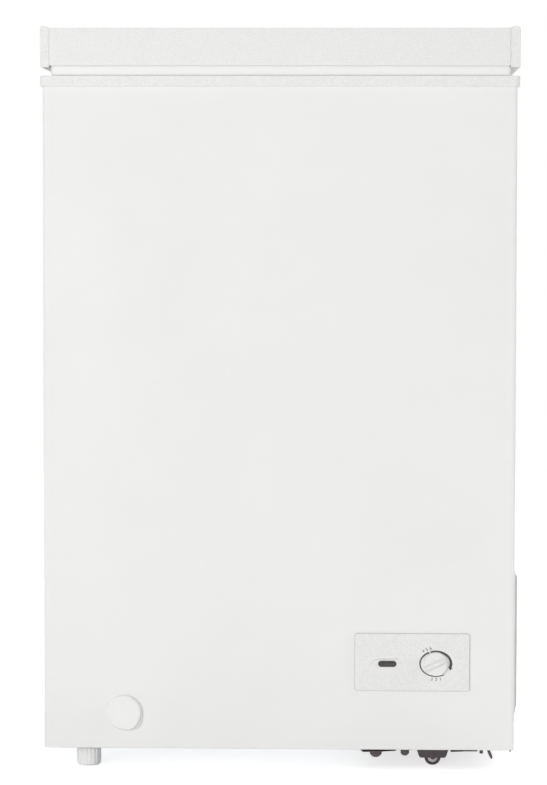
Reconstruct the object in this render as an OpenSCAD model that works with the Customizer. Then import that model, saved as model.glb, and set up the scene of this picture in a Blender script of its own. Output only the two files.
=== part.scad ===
// Compact chest freezer: painted steel cabinet, top lid on sprung hinges, machine
// compartment at the lower right, two levelling feet on the left and two rollers on
// the right. Front faces -Y, +X is the right side, the floor is z = 0.

/* [Cabinet] */
// Width of the painted cabinet
cabinet_w = 540; // [520:5:640]
// Depth of the painted cabinet, front face to back face
cabinet_d = 470; // [450:5:560]
// Height of the painted sides, lower edge to the top frame
cabinet_h = 757; // [720:1:860]
// Height of the lower edge above the floor
floor_gap = 25; // [24:0.5:32]
// Sheet thickness of the painted steel
steel_t = 0.8; // [0.6:0.1:1.2]
// Radius of the vertical front edges
corner_r = 5; // [3:0.5:8]
// Width of the sheet returns along the lower edge
return_w = 14; // [10:1:18]
// Thickness of the insulated walls
wall_t = 52; // [48:1:60]
// Thickness of the insulated floor
floor_t = 70; // [64:1:80]

/* [Cavity] */
// Sheet thickness of the liner
liner_t = 0.8; // [0.6:0.1:1.5]
// Radius of the liner's vertical corners
liner_r = 20; // [15:1:28]
// Inner width of the machine compartment
machine_w = 178; // [172:1:190]
// Inner height of the machine compartment
machine_h = 202; // [195:1:215]
// Insulation between machine compartment and liner
step_t = 50; // [40:1:60]

/* [Top frame] */
// Height of the frame's outer skirt
frame_h = 12; // [9:0.5:16]
// How far the skirt stands out from the cabinet
frame_out = 2.8; // [2:0.1:4]
// Wall thickness of the frame
frame_t = 2.2; // [1.8:0.1:3]
// Depth of the basket ledge below the rim
ledge_drop = 18; // [16:0.5:24]
// Width of the basket ledge
ledge_w = 7; // [6:0.5:9]

/* [Lid] */
// Gap between rim and lid face, filled by the gasket
lid_gap = 11; // [9:0.5:14]
// Height of the lid's front face
lid_face_h = 43; // [36:0.5:52]
// Overhang of the lid at front and back
lid_out = 5; // [4:0.5:8]
// Overhang of the lid at each side
lid_side = 2.8; // [2.8:0.1:6]
// Wall thickness of the lid's rails and caps
rail_t = 2; // [1.6:0.1:3]
// Width of the flat flanges of the front and back rails
rail_w = 18; // [14:1:24]
// Width of the side caps
cap_w = 11; // [9:0.1:13]
// How far the side caps stand above the lid panel
cap_rise = 2; // [1:0.5:3]
// How far the side caps hang below the lid face
cap_drop = 1.5; // [0.5:0.5:3]
// Depth of the inner panel's pan below the rim
pan_drop = 8; // [5:0.5:10]
// Distance from the lid's edge to the gasket
gasket_in = 13.5; // [12:0.5:16]
// Width of the gasket
gasket_w = 14; // [11:0.5:16]

/* [Hinges] */
// Distance of each hinge from the cabinet's side
hinge_in = 98; // [85:1:130]
// Outside width of the hinge channel
hinge_w = 44; // [42:1:52]
// Length of the hinge channel down the back
hinge_len = 98; // [94:1:120]
// Sheet thickness of the hinge channel
hinge_t = 2; // [1.6:0.1:2.5]
// Distance of the pivot behind the cabinet
pivot_back = 22; // [21:0.5:26]
// Height of the pivot above the rim
pivot_up = 3; // [2:0.5:5]
// Radius of the hinge pin
pin_r = 3; // [2.5:0.1:3.4]
// Lever length from the pivot to the push pin
lever_len = 13; // [11.5:0.1:13.6]
// Radius of the spring plunger
plunger_r = 6.5; // [6:0.1:7]
// Radius of the spring coil at the wire's centre
spring_r = 4.6; // [4:0.1:5]
// Wire radius of the spring
spring_wire = 0.8; // [0.6:0.05:0.9]

/* [Control panel] */
// Width of the control panel
panel_w = 131; // [110:1:140]
// Height of the control panel
panel_h = 67; // [60:1:80]
// Thickness of the control panel
panel_t = 2.5; // [2:0.1:4]
// Distance of the panel from the cabinet's right side
panel_right = 51.5; // [35:0.5:60]
// Height of the panel's lower edge above the cabinet's lower edge
panel_up = 67.5; // [55:0.5:80]
// Distance of the knob's axis from the panel's right edge
knob_in = 38.5; // [30:0.5:45]
// Radius of the thermostat knob
knob_r = 13.5; // [11:0.5:16]
// How far the knob stands out from the panel
knob_out = 11; // [8:0.5:15]
// Angle of the knob's pointer above horizontal
knob_turn = 26; // [0:1:90]
// Radius of the thermostat shaft
shaft_r = 3; // [2.5:0.1:4]
// Distance of the indicator from the panel's left edge
lamp_in = 37; // [30:0.5:45]
// Width of the indicator lens
lamp_w = 21; // [16:0.5:26]
// Height of the indicator lens
lamp_h = 7; // [5:0.5:9]

/* [Drain] */
// Distance of the drain from the cabinet's left side
drain_left = 92; // [80:1:110]
// Height of the drain outlet above the cabinet's lower edge
drain_up = 42; // [38:1:48]
// Distance of the drain in the cavity floor from the cabinet's front
drain_in = 95; // [85:1:120]
// Bore radius of the drain pipe
drain_r = 10; // [8:0.5:11]
// Wall thickness of the drain pipe
drain_t = 2.2; // [1.5:0.1:3]
// Radius of the outer drain cap
cap_r = 19.5; // [17:0.5:22]
// How far the outer drain cap stands out
cap_out = 7; // [5:0.5:9]

/* [Side grille] */
// Distance of the grille from the cabinet's front
grille_in = 60; // [50:1:70]
// Length of the grille, front to back
grille_d = 270; // [240:2:280]
// Height of the grille
grille_h = 181; // [170:1:185]
// Height of the grille's lower edge above the cabinet's lower edge
grille_up = 16; // [12:0.5:18]
// How far the grille stands out from the cabinet
grille_out = 6; // [5:0.5:14]
// Spacing of the grille's slots
slot_pitch = 9; // [8:0.5:12]

/* [Machine] */
// Radius of the compressor housing
can_r = 62; // [55:1:64]
// Height of the compressor housing
can_h = 150; // [135:1:158]
// Distance of the compressor's axis from the cabinet's front
can_in = 215; // [190:1:240]
// Spacing of the compressor feet, left to right
can_feet_w = 132; // [128:1:140]
// Spacing of the compressor feet, front to back
can_feet_d = 132; // [128:1:140]
// Height of the rubber grommets
grommet_h = 13; // [10:0.5:16]
// Thickness of the compressor base plate
plate_t = 2; // [1.5:0.1:3]
// Radius of the suction and evaporator tubes
evap_r = 4; // [3:0.1:4.5]
// Radius of the discharge and condenser tubes
cond_r = 3; // [2:0.1:3.5]
// Passes of the evaporator and condenser tubes
passes = 6; // [4:2:6]
// Distance of the top evaporator pass below the basket ledge
pass_drop = 78; // [60:1:100]

/* [Feet and rollers] */
// Distance of the feet from the cabinet's left side
foot_left = 49.5; // [40:0.5:60]
// Distance of the feet from the cabinet's front and back
foot_in = 30; // [24:1:45]
// Radius of the levelling feet
foot_r = 14; // [12:0.5:17]
// Height of the levelling feet
foot_h = 21.5; // [18:0.5:22]
// Radius of the foot's threaded stud
stud_r = 4; // [3:0.5:5]
// Distance of the rollers from the cabinet's right side
roller_right = 92.5; // [80:0.5:100]
// Radius of the rollers
roller_r = 9.5; // [8:0.5:10.5]
// Width of the rollers
roller_w = 14; // [10:0.5:18]
// Radius of the roller axles
axle_r = 1.6; // [1.2:0.1:2.2]

/* [Basket] */
// Width of the basket
basket_w = 168; // [140:1:180]
// Height of the basket
basket_h = 180; // [120:5:220]
// Thickness of the basket's wires
wire_t = 3.2; // [2.5:0.1:4]
// Target spacing of the basket's wires
wire_gap = 29; // [24:1:40]

/* [Hidden] */

$fn = 48;
// clearance between pieces that move past each other, and between seated pieces
gap = 0.3;
seat = 0.1;
// radial clearance of a running fit
run = 0.05;
// overlap that joins or cuts cleanly
eps = 1;

// levels
half_w = cabinet_w / 2;
edge_z = floor_gap;
frame_z = edge_z + cabinet_h;
rim_z = frame_z + frame_h;
ledge_z = rim_z - ledge_drop;
lid_z = rim_z + lid_gap;
lid_top = lid_z + lid_face_h;
cap_top = lid_top + cap_rise;
cap_low = lid_z - cap_drop;
pan_z = edge_z + steel_t;
pan_top = pan_z + steel_t;
cavity_z = edge_z + floor_t;

// lid and machine compartment
lid_half = half_w + lid_side;
lid_front = -lid_out;
lid_back = cabinet_d + lid_out;
machine_x = half_w - steel_t - machine_w;
machine_top = edge_z + machine_h;
step_x = machine_x - step_t;
step_z = machine_top + steel_t + step_t;

// base pan ribs
rib_n = 4;
rib_w = 14;
rib_h = 2;
rib_in = 70;

// hinges
hinge_x = half_w - hinge_in;
pivot_y = cabinet_d + pivot_back;
pivot_z = rim_z + pivot_up;
hinge_drop = 2;
hinge_top = frame_z - hinge_drop;
hinge_low = hinge_top - hinge_len;
knuckle_r = 8;
channel_back = pivot_back + knuckle_r;
cover_t = 2;
cover_back = channel_back + gap + cover_t;
ear_gap = 6;
ear_x = hinge_w / 2 - hinge_t - ear_gap;
ear_t = 2.5;
arm_in = 5;
washer_r = 4.8;
// the lever rises from 45 degrees below level to 40 above it as the lid opens
lever_low = 45;
spring_y = pivot_y - lever_len * 0.85;
push_y = pivot_y - lever_len * cos(lever_low);
push_z = pivot_z - lever_len * sin(lever_low);
push_gap = 0.8;
push_eye_r = 4.4;
eye_r = 7;
plunger_top = push_z - pin_r - push_gap;
plunger_len = 30;
plunger_wall = 0.8;
plunger_cap = 2;
guide_z = plunger_top - 9;
guide_t = 3;
shelf_up = 18;
shelf_z = hinge_low + shelf_up;
peg_h = 9;
spring_low = shelf_z + hinge_t;
spring_top = plunger_top - plunger_cap;
// toe of the channel and of its cover, where they narrow towards the cabinet
toe_out = 14;
toe_rise = 22;

// screws of hinges, lid and grille
screw_r = 1.7;
screw_hole_r = 1.8;
screw_pass_r = 2.2;
screw_len = 12;
hinge_head_r = 3.8;
grille_head_r = 3.4;
head_h = 2;
hinge_hole_x = 13;
hinge_hole_up = 8;
hinge_hole_down = 30;

// front pieces
panel_x1 = half_w - panel_right;
panel_x0 = panel_x1 - panel_w;
panel_z0 = edge_z + panel_up;
panel_mid = panel_z0 + panel_h * 0.47;
knob_x = panel_x1 - knob_in;
lamp_x = panel_x0 + lamp_in;
drain_x = drain_left - half_w;
drain_z = edge_z + drain_up;
drain_bend = 16;
drain_flange_w = 9;
drain_flange_t = 1.6;
sleeve_r = 8;
// play around what passes the cabinet's front
front_play = 2;

// machine
can_x = machine_x + machine_w / 2;
plate_z = edge_z - plate_t;
foot_plate_z = edge_z + grommet_h;
foot_plate_t = 3;
can_z = foot_plate_z + foot_plate_t;
bolt_r = 3;
stub_len = 5;
stub_wall = 1;
pipe_bend = 10;

// tubes in the insulation
riser_in = 90;
first_pass = 30;
evap_x = snap(half_w - wall_t + liner_t + evap_r + seat);
evap_y = snap(wall_t - liner_t - evap_r - seat);
evap_back = snap(cabinet_d - wall_t - riser_in);
evap_bend = snap(liner_r + liner_t + evap_r + seat);
evap_z = snap(step_z + first_pass);
pass_rise = snap((ledge_z - pass_drop - evap_z) / (passes - 1));
cond_x = snap(half_w - steel_t - cond_r - seat);
cond_y = snap(steel_t + cond_r + seat);
cond_back = snap(cabinet_d - riser_in);
cond_bend = 18;
cond_up = 34;
cond_z = evap_z + cond_up;
tail_gap = 30;

// feet, rollers and basket
foot_x = foot_left - half_w;
foot_ys = [foot_in, cabinet_d - foot_in];
insert_r = 8;
insert_h = 22;
insert_neck_r = insert_r - 2;
stud_over = 16;
stud_top = pan_top + insert_h + stud_over;
stud_low = 6;
rib_x0 = foot_x + insert_r + 10;
rib_pitch = (machine_x - 24 - rib_w - rib_x0) / (rib_n - 1);
roller_x = half_w - roller_right;
roller_shift = 16;
roller_ys = [foot_in + roller_shift, cabinet_d - foot_in - roller_shift];
ledge_in = wall_t - ledge_w;
basket_gap = 6;
hook_in = 8;
hook_gap = 1.5;
basket_y0 = wall_t + frame_t + basket_gap;
basket_x0 = basket_y0 - half_w;
basket_d = cabinet_d - 2 * basket_y0;
basket_rim = ledge_z + gap + wire_t;

// outermost sizes, for the place of the origin
reach_left = -lid_half;
reach_right = max(half_w + grille_out, lid_half);
reach_front = -max(panel_t + knob_out, cap_out, lid_out);
reach_back = cabinet_d + cover_back;
mid_x = (reach_left + reach_right) / 2;
mid_y = (reach_front + reach_back) / 2;

// colours
paint = "#f1f1f1";
white_plastic = "#ebebeb";
foam_cream = "#ecdca6";
aluminium = "#c9ccd0";
zinc = "#b4b7ba";
black_steel = "#2b2b2d";
rubber = "#3a3635";
copper = "#b87349";

// ---------- shared shapes ----------

// Moves the cabinet's own frame (front face at y = 0, mid-plane at x = 0) to the origin
module placed() translate([-mid_x, -mid_y, 0]) children();

// Rounded rectangle from two corners
module plan(x0, x1, y0, y1, r) {
    translate([x0 + r, y0]) square([x1 - x0 - 2 * r, y1 - y0]);
    translate([x0, y0 + r]) square([x1 - x0, y1 - y0 - 2 * r]);
    for (x = [x0 + r, x1 - r], y = [y0 + r, y1 - r]) translate([x, y]) circle(r);
}

// Block whose sides lie a given inset within the cabinet's outline
module inset_block(inset, r, z0, z1)
    translate([0, 0, z0])
        linear_extrude(z1 - z0)
            plan(inset - half_w, half_w - inset, inset, cabinet_d - inset, r);

// Upright ring between two insets from the cabinet's outline
module inset_ring(inset0, inset1, r0, r1, z0, z1)
    difference() {
        inset_block(inset0, r0, z0, z1);
        inset_block(inset1, r1, z0 - eps, z1 + eps);
    }

// Block from two corners
module block(p, q) translate(p) cube(q - p);

// Plain cylinders along each axis, from a point
module rod_x(p, r, h) translate(p) rotate([0, 90, 0]) cylinder(r = r, h = h);
module rod_y(p, r, h) translate(p) rotate([-90, 0, 0]) cylinder(r = r, h = h);
module rod_z(p, r, h) translate(p) cylinder(r = r, h = h);

// Outline in the Y-Z plane, made solid along +X
module side_profile(x, w)
    translate([x, 0, 0]) rotate([90, 0, 90]) linear_extrude(w) children();

// Outline in the X-Z plane, made solid along +Y
module front_profile(y, d)
    translate([0, y + d, 0]) rotate([90, 0, 0]) linear_extrude(d) children();

function unit(v) = v / norm(v);
// Nearest place on a grid of 1/8 mm, on which straights and bends of tubes meet exactly
function snap(v) = round(v * 8) / 8;
function snap_all(p) = [for (q = p) [for (v = q) snap(v)]];
// Any direction square to v
function square_to(v) = unit(cross(v, abs(v.z) < 0.9 ? [0, 0, 1] : [1, 0, 0]));
// Length of straight taken up by a bend of radius r between directions a and b
function bend_cut(a, b, r) = r * tan(acos(a * b) / 2);
// Frame matrix from an origin and the x and y directions
function frame_of(o, x, y) =
    let (z = cross(x, y))
    [[x.x, y.x, z.x, o.x], [x.y, y.y, z.y, o.y], [x.z, y.z, z.z, o.z], [0, 0, 0, 1]];

// Round bar along a route, with every corner bent to the same radius
module tube(points, r, bend) {
    route = snap_all(points);
    last = len(route) - 1;
    dirs = [for (i = [0:last - 1]) unit(route[i + 1] - route[i])];
    cuts = [for (i = [0:last])
        i == 0 || i == last ? 0 : bend_cut(dirs[i - 1], dirs[i], bend)];
    for (i = [0:last - 1]) {
        d = dirs[i];
        multmatrix(frame_of(route[i] + d * cuts[i], square_to(d), cross(d, square_to(d))))
            cylinder(r = r, h = norm(route[i + 1] - route[i]) - cuts[i] - cuts[i + 1]);
    }
    for (i = [1:last - 1]) {
        a = dirs[i - 1];
        n = unit(dirs[i] - (dirs[i] * a) * a);
        multmatrix(frame_of(route[i] - a * cuts[i] + n * bend, -n, a))
            rotate_extrude(angle = acos(a * dirs[i])) translate([bend, 0]) circle(r);
    }
}

// Serpentine up the right, front and left walls, with both ends brought down
function serpentine(x, y, back, z, low) =
    concat(
        [[x, back, low]],
        [for (i = [0:passes - 1], k = [0:3])
            let (j = i % 2 == 0 ? k : 3 - k,
                 tail = i == passes - 1 && k == 3 ? tail_gap : 0)
            [j < 2 ? x : -x, (j == 0 || j == 3 ? back : y) + tail, z + i * pass_rise]],
        [[x, back + tail_gap, low]]
    );
function without_doubles(p) =
    [for (i = [0:len(p) - 1]) if (i == 0 || norm(p[i] - p[i - 1]) > 0.01) p[i]];

// ---------- cabinet ----------

// U-shaped outline of the painted wrap, open at the back
module wrap_plan(inset, back) {
    r = corner_r - inset;
    w = half_w - inset;
    translate([-w, inset + r]) square([2 * w, back - inset - r]);
    translate([r - w, inset]) square([2 * (w - r), back - inset]);
    for (x = [r - w, w - r]) translate([x, inset + r]) circle(r);
}

module grille_opening(margin)
    block([half_w - steel_t - eps, grille_in + margin, grille_z0 + margin],
          [half_w + eps, grille_in + grille_d - margin, grille_z0 + grille_h - margin]);

module outer_shell() placed() color(paint) difference() {
    union() {
        translate([0, 0, edge_z])
            linear_extrude(rim_z - frame_t - edge_z)
                difference() {
                    wrap_plan(0, cabinet_d);
                    wrap_plan(steel_t, cabinet_d + eps);
                }
        // return along the lower edge
        translate([0, 0, edge_z])
            linear_extrude(steel_t)
                difference() {
                    wrap_plan(0, cabinet_d);
                    translate([return_w - half_w, return_w])
                        square([cabinet_w - 2 * return_w, cabinet_d]);
                }
    }
    grille_opening(grille_lap);
    grille_screw_holes(screw_hole_r);
    rod_y([drain_x, -eps, drain_z], drain_r + drain_t + seat, steel_t + 2 * eps);
    rod_y([knob_x, -eps, panel_mid], sleeve_r, steel_t + 2 * eps);
    block([lamp_x - lamp_w / 2 - front_play, -eps, panel_mid - lamp_h / 2 - front_play],
          [lamp_x + lamp_w / 2 + front_play, steel_t + eps,
           panel_mid + lamp_h / 2 + front_play]);
}

// beads of the back panel, and the edges of the opening at the machine compartment
bead_w = 12;
bead_out = 1.4;
bead_pitch = hinge_x / 3;
bead_in = 20;
vent_in = 14;
vent_up = 28;

module back_panel() placed() color(paint) difference() {
    union() {
        block([steel_t - half_w, cabinet_d - steel_t, pan_z],
              [half_w - steel_t, cabinet_d, rim_z - frame_t]);
        // pressed stiffening ribs between the hinges
        for (i = [-2:2])
            front_profile(cabinet_d - steel_t / 2, steel_t / 2 + bead_out)
                plan(i * bead_pitch - bead_w / 2, i * bead_pitch + bead_w / 2,
                     step_z + 2 * bead_in, hinge_low - bead_in, bead_w / 2 - seat);
    }
    // open back of the machine compartment
    front_profile(cabinet_d - steel_t - eps, steel_t + 2 * eps)
        plan(machine_x + vent_in, half_w - vent_in, edge_z + vent_up, machine_top - vent_in, 6);
    rod_y([cord_x, cabinet_d - steel_t - eps, cord_z], cord_hole_r, steel_t + 2 * eps);
    for (s = [-1, 1]) hinge_screw_holes(s, screw_hole_r);
}

module base_pan() placed() color(zinc) difference() {
    union() {
        intersection() {
            inset_block(steel_t, corner_r, pan_z, pan_top);
            block([-half_w, 0, 0], [machine_x, cabinet_d, rim_z]);
        }
        pan_ribs(0, steel_t / 2);
    }
    for (y = foot_ys) rod_z([foot_x, y, pan_z - eps], insert_neck_r, steel_t + 2 * eps);
}

// Pressed ribs of the base pan, grown by t, reaching down into the sheet
module pan_ribs(t, down)
    for (i = [0:rib_n - 1])
        block([rib_x0 + i * rib_pitch - t, rib_in - t, pan_top - down],
              [rib_x0 + i * rib_pitch + rib_w + t, cabinet_d - rib_in + t, pan_top + rib_h + t]);

// width of the flange at the foot of the compartment's wall
wall_foot_w = 12;

module compartment_wall() placed() color(zinc) difference() {
    union() {
        block([machine_x, steel_t, pan_z],
              [machine_x + steel_t, cabinet_d - steel_t, machine_top + steel_t]);
        intersection() {
            inset_block(steel_t, corner_r, machine_top, machine_top + steel_t);
            block([machine_x, 0, 0], [half_w, cabinet_d, rim_z]);
        }
        block([machine_x, return_w + seat, edge_z],
              [machine_x + wall_foot_w, cabinet_d - steel_t, pan_z]);
    }
    for (p = tube_ends) rod_z([p[0], p[1], machine_top - eps], p[2] + seat, steel_t + 2 * eps);
}

// where the four tubes pass the compartment's ceiling: x, y, radius
tube_ends = [
    [evap_x, evap_back, evap_r], [evap_x, evap_back + tail_gap, evap_r],
    [cond_x, cond_back, cond_r], [cond_x, cond_back + tail_gap, cond_r]
];

// Inside of the liner, grown by t on every face
module cavity(t) difference() {
    inset_block(wall_t - t, liner_r + t, cavity_z + liner_t - t, ledge_z - frame_t - seat);
    block([step_x + t, 0, 0], [half_w, cabinet_d, step_z + liner_t - t]);
}

module liner() placed() color(aluminium) difference() {
    cavity(liner_t);
    translate([0, 0, eps]) intersection() {
        inset_block(wall_t, liner_r, cavity_z, rim_z);
        translate([0, 0, -eps]) union() {
            cavity(0);
            inset_block(wall_t, liner_r, ledge_z - frame_t - 2, rim_z);
        }
    }
    cavity(0);
    rod_z([drain_x, drain_in, cavity_z - eps], drain_r + drain_t + seat, liner_t + 2 * eps);
}

module groove_slabs() {
    for (i = [0:passes - 1]) {
        z = evap_z + i * pass_rise;
        inset_block(wall_t - liner_t - 2 * evap_r - gap, evap_bend + evap_r + gap,
                    z - evap_r - gap, z + evap_r + gap);
    }
    for (i = [0:passes - 1]) {
        z = cond_z + i * pass_rise;
        inset_ring(-eps, steel_t + 2 * cond_r + gap, 1, cond_bend - cond_r,
                   z - cond_r - gap, z + cond_r + gap);
    }
}

// Pockets for the upright runs of a serpentine against one wall
module riser_pockets(x, y, z, r, bend) {
    top = z + (passes - 1) * pass_rise + r + gap;
    block([x - r - gap, y - bend - r - gap, machine_top],
          [x + r + gap, y + tail_gap + r + gap, top]);
    block([-x - r - gap, y - bend - r - gap, z - r - gap], [-x + r + gap, y + r + gap, top]);
}

module foam() placed() color(foam_cream) difference() {
    inset_block(steel_t, corner_r, pan_top, rim_z - frame_t);
    cavity(liner_t);
    inset_block(ledge_in - frame_t, liner_r + ledge_w + frame_t, ledge_z - frame_t - seat, rim_z);
    block([machine_x, 0, 0], [half_w, cabinet_d, machine_top + steel_t]);
    groove_slabs();
    riser_pockets(evap_x, evap_back, evap_z, evap_r, evap_bend);
    riser_pockets(cond_x, cond_back, cond_z, cond_r, cond_bend);
    pan_ribs(seat, eps);
    for (y = foot_ys)
        rod_z([foot_x, y, pan_top - eps], insert_r + seat, stud_top + 2 * eps - pan_top);
    drain_run(drain_r + drain_t + seat, eps);
    for (s = [-1, 1]) hinge_screw_holes(s, screw_hole_r);
}

module evaporator_tube() placed() color(aluminium)
    tube(without_doubles(serpentine(evap_x, evap_y, evap_back, evap_z, machine_top)),
         evap_r, evap_bend);

module condenser_tube() placed() color(copper)
    tube(without_doubles(serpentine(cond_x, cond_y, cond_back, cond_z, machine_top)),
         cond_r, cond_bend);

// how far the inner lip hangs below the basket ledge
frame_lip = 14;

module top_frame() placed() color(white_plastic) {
    outer_r = corner_r + 1;
    // outer skirt, square inside for the sheets' back corners, then top, upper wall,
    // basket ledge and lower lip over the liner's edge
    inset_ring(-frame_out, -seat, outer_r, gap, frame_z, rim_z - frame_t + seat);
    inset_ring(-frame_out, ledge_in, outer_r, liner_r + ledge_w, rim_z - frame_t, rim_z);
    inset_ring(ledge_in - frame_t, ledge_in, liner_r + ledge_w + frame_t, liner_r + ledge_w,
               ledge_z - frame_t, rim_z - frame_t + seat);
    inset_ring(ledge_in - frame_t, wall_t + frame_t, liner_r + ledge_w + frame_t,
               liner_r - frame_t, ledge_z - frame_t, ledge_z);
    inset_ring(wall_t + seat, wall_t + frame_t, liner_r - seat, liner_r - frame_t,
               ledge_z - frame_lip, ledge_z - frame_t + seat);
}

// ---------- front pieces ----------

module control_panel() placed() color(white_plastic) difference() {
    union() {
        front_profile(-panel_t, panel_t)
            plan(panel_x0, panel_x1, panel_z0, panel_z0 + panel_h, 3);
        // dial seat, a shallow round boss under the knob
        rod_y([knob_x, -panel_t - 0.4, panel_mid], knob_r + 1, 1);
    }
    // shallow scoop around the indicator, wider at its foot
    front_profile(-panel_t - 1, 1.8)
        polygon([[lamp_x - 20, panel_mid - 4.5], [lamp_x + 20, panel_mid - 4.5],
                 [lamp_x + 12, panel_mid + 7], [lamp_x - 12, panel_mid + 7]]);
    front_profile(-panel_t - 1, panel_t + 2) lens_plan(seat);
    rod_y([knob_x, -5, panel_mid], sleeve_r, 10);
}

// Oblong of the indicator lens, grown by t
module lens_plan(t) {
    r = lamp_h / 2;
    for (s = [-1, 1]) translate([lamp_x + s * (lamp_w / 2 - r), panel_mid]) circle(r + t);
    translate([lamp_x - lamp_w / 2 + r, panel_mid - r - t])
        square([lamp_w - 2 * r, 2 * (r + t)]);
}

module indicator_lens() placed() color("#5a4441") {
    front_profile(-panel_t + 0.2, panel_t + 1.8) lens_plan(0);
    // collar that stops the lens behind the panel
    block([lamp_x - lamp_w / 2 - 1.5, 0, panel_mid - lamp_h / 2 - 1.5],
          [lamp_x + lamp_w / 2 + 1.5, 2, panel_mid + lamp_h / 2 + 1.5]);
}

module indicator_lamp() placed() color("#e8a55c") {
    block([lamp_x - 11, 2, panel_mid - 5], [lamp_x + 11, 16, panel_mid + 5]);
    for (s = [-1, 1])
        block([lamp_x + s * 5 - 0.4, 15, panel_mid - 3], [lamp_x + s * 5 + 0.4, 25, panel_mid + 3]);
}

module thermostat() placed() color(zinc) difference() {
    union() {
        block([knob_x - 23, steel_t + seat, panel_mid - 17],
              [knob_x + 23, steel_t + 26, panel_mid + 17]);
        rod_y([knob_x, -panel_t, panel_mid], sleeve_r - seat, panel_t + 4);
        for (x = [-12, 0, 12])
            block([knob_x + x - 3, steel_t + 25, panel_mid - 12],
                  [knob_x + x + 3, steel_t + 36, panel_mid - 11]);
    }
    rod_y([knob_x, -10, panel_mid], shaft_r + run, 30);
}

module thermostat_knob() placed() color(white_plastic)
    translate([knob_x, -panel_t - 0.4 - gap, panel_mid]) rotate([0, -knob_turn, 0]) {
        out = knob_out - 0.4 - gap;
        // skirt with a softened edge, then the grip bar and the shaft
        rotate([90, 0, 0]) rotate_extrude()
            polygon([[0, 0], [knob_r, 0], [knob_r, out * 0.34], [knob_r - 0.8, out * 0.42],
                     [0, out * 0.42]]);
        intersection() {
            rotate([90, 0, 0]) cylinder(r = knob_r - 1, h = out);
            front_profile(-out, out)
                polygon([[-knob_r, -3.2], [knob_r - 5, -3.2], [knob_r, -1.2], [knob_r, 1.2],
                         [knob_r - 5, 3.2], [-knob_r, 3.2]]);
        }
        rod_y([0, -1, 0], shaft_r, 20);
    }

// Route of the drain: down from the cavity floor, then out through the front
module drain_run(r, over) {
    z_top = cavity_z + liner_t;
    rod_z([drain_x, drain_in, drain_z + drain_bend], r, z_top - drain_z - drain_bend + over);
    translate([drain_x, drain_in - drain_bend, drain_z + drain_bend])
        rotate([90, 0, 90]) rotate([0, 0, -90])
            rotate_extrude(angle = 90) translate([drain_bend, 0]) circle(r);
    rod_y([drain_x, -over, drain_z], r, drain_in - drain_bend + over);
}

module drain_pipe() placed() color(white_plastic) difference() {
    union() {
        drain_run(drain_r + drain_t, 0);
        rod_z([drain_x, drain_in, cavity_z + liner_t], drain_r + drain_flange_w,
              drain_flange_t);
    }
    drain_run(drain_r, drain_flange_t + eps);
}

module drain_cap() placed() color(white_plastic) {
    translate([drain_x, -gap, drain_z]) rotate([90, 0, 0])
        hull() {
            cylinder(r = cap_r, h = cap_out - gap - 1.5, $fn = 64);
            cylinder(r = cap_r - 1.5, h = cap_out - gap, $fn = 64);
            // finger lip at the lower right
            translate([cap_r * 0.62, -cap_r * 0.62, 0]) cylinder(r = 6, h = cap_out - gap - 2, $fn = 32);
        }
    rod_y([drain_x, -gap - eps, drain_z], drain_r - gap, 14);
}

module drain_plug() placed() color(white_plastic) {
    top = cavity_z + liner_t + drain_flange_t + gap;
    rod_z([drain_x, drain_in, top], drain_r + 5, 3);
    rod_z([drain_x, drain_in, top - 10], drain_r - gap, 11);
    block([drain_x - 7, drain_in - 1.5, top + 2], [drain_x + 7, drain_in + 1.5, top + 10]);
}

// ---------- side grille ----------

grille_z0 = edge_z + grille_up;
grille_flange_t = 2;
// how far the grille's flange laps over the cabinet's side
grille_lap = 12;
// slots fill the face between these heights
grille_toe = 26;
slot_z0 = grille_z0 + grille_toe + 4;
slot_n = floor((grille_h - grille_toe - 14) / slot_pitch);
slot_bar = 8;
grille_screw_pass = 2;
grille_screws = [for (y = [grille_in + 5.5, grille_in + grille_d - 5.5],
                      z = [grille_z0 + 9, grille_z0 + grille_h - 9]) [half_w, y, z]];

module grille_screw_holes(r)
    for (p = grille_screws)
        rod_x(p - [steel_t + eps, 0, 0], r, steel_t + grille_flange_t + 2 * eps);

// Hollow, slope-sided tray standing out from the side; t shrinks it for the inside
module grille_tray(t) hull() {
    block([half_w - eps * (t > 0 ? 1 : 0), grille_in + 11 + t, grille_z0 + 2 + t],
          [half_w + 0.5, grille_in + grille_d - 11 - t, grille_z0 + grille_h - 2 - t]);
    block([half_w + grille_out - t - 0.5, grille_in + 14 + t, grille_z0 + grille_toe + t],
          [half_w + grille_out - t, grille_in + grille_d - 14 - t, grille_z0 + grille_h - 5 - t]);
}

module side_grille() placed() color("#dadada") difference() {
    union() {
        side_profile(half_w, grille_flange_t)
            plan(grille_in, grille_in + grille_d, grille_z0, grille_z0 + grille_h, 5);
        grille_tray(0);
    }
    grille_tray(grille_flange_t);
    grille_screw_holes(grille_screw_pass);
    // three columns of slots with bars between them
    column = (grille_d - 5 * slot_bar) / 3;
    for (k = [0:slot_n - 1], j = [0:2])
        block([half_w + eps, grille_in + 3 * slot_bar + j * column, slot_z0 + k * slot_pitch],
              [half_w + grille_out + eps, grille_in + 2 * slot_bar + (j + 1) * column,
               slot_z0 + k * slot_pitch + slot_pitch * 0.45]);
}

module side_grille_screws() placed() color(zinc)
    for (p = grille_screws) {
        rod_x(p - [5, 0, 0], screw_r, 5 + grille_flange_t + eps);
        rod_x(p + [grille_flange_t, 0, 0], grille_head_r, head_h);
    }

// ---------- machine compartment ----------

can_feet = [for (x = [-1, 1], y = [-1, 1])
    [can_x + x * can_feet_w / 2, can_in + y * can_feet_d / 2]];
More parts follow.
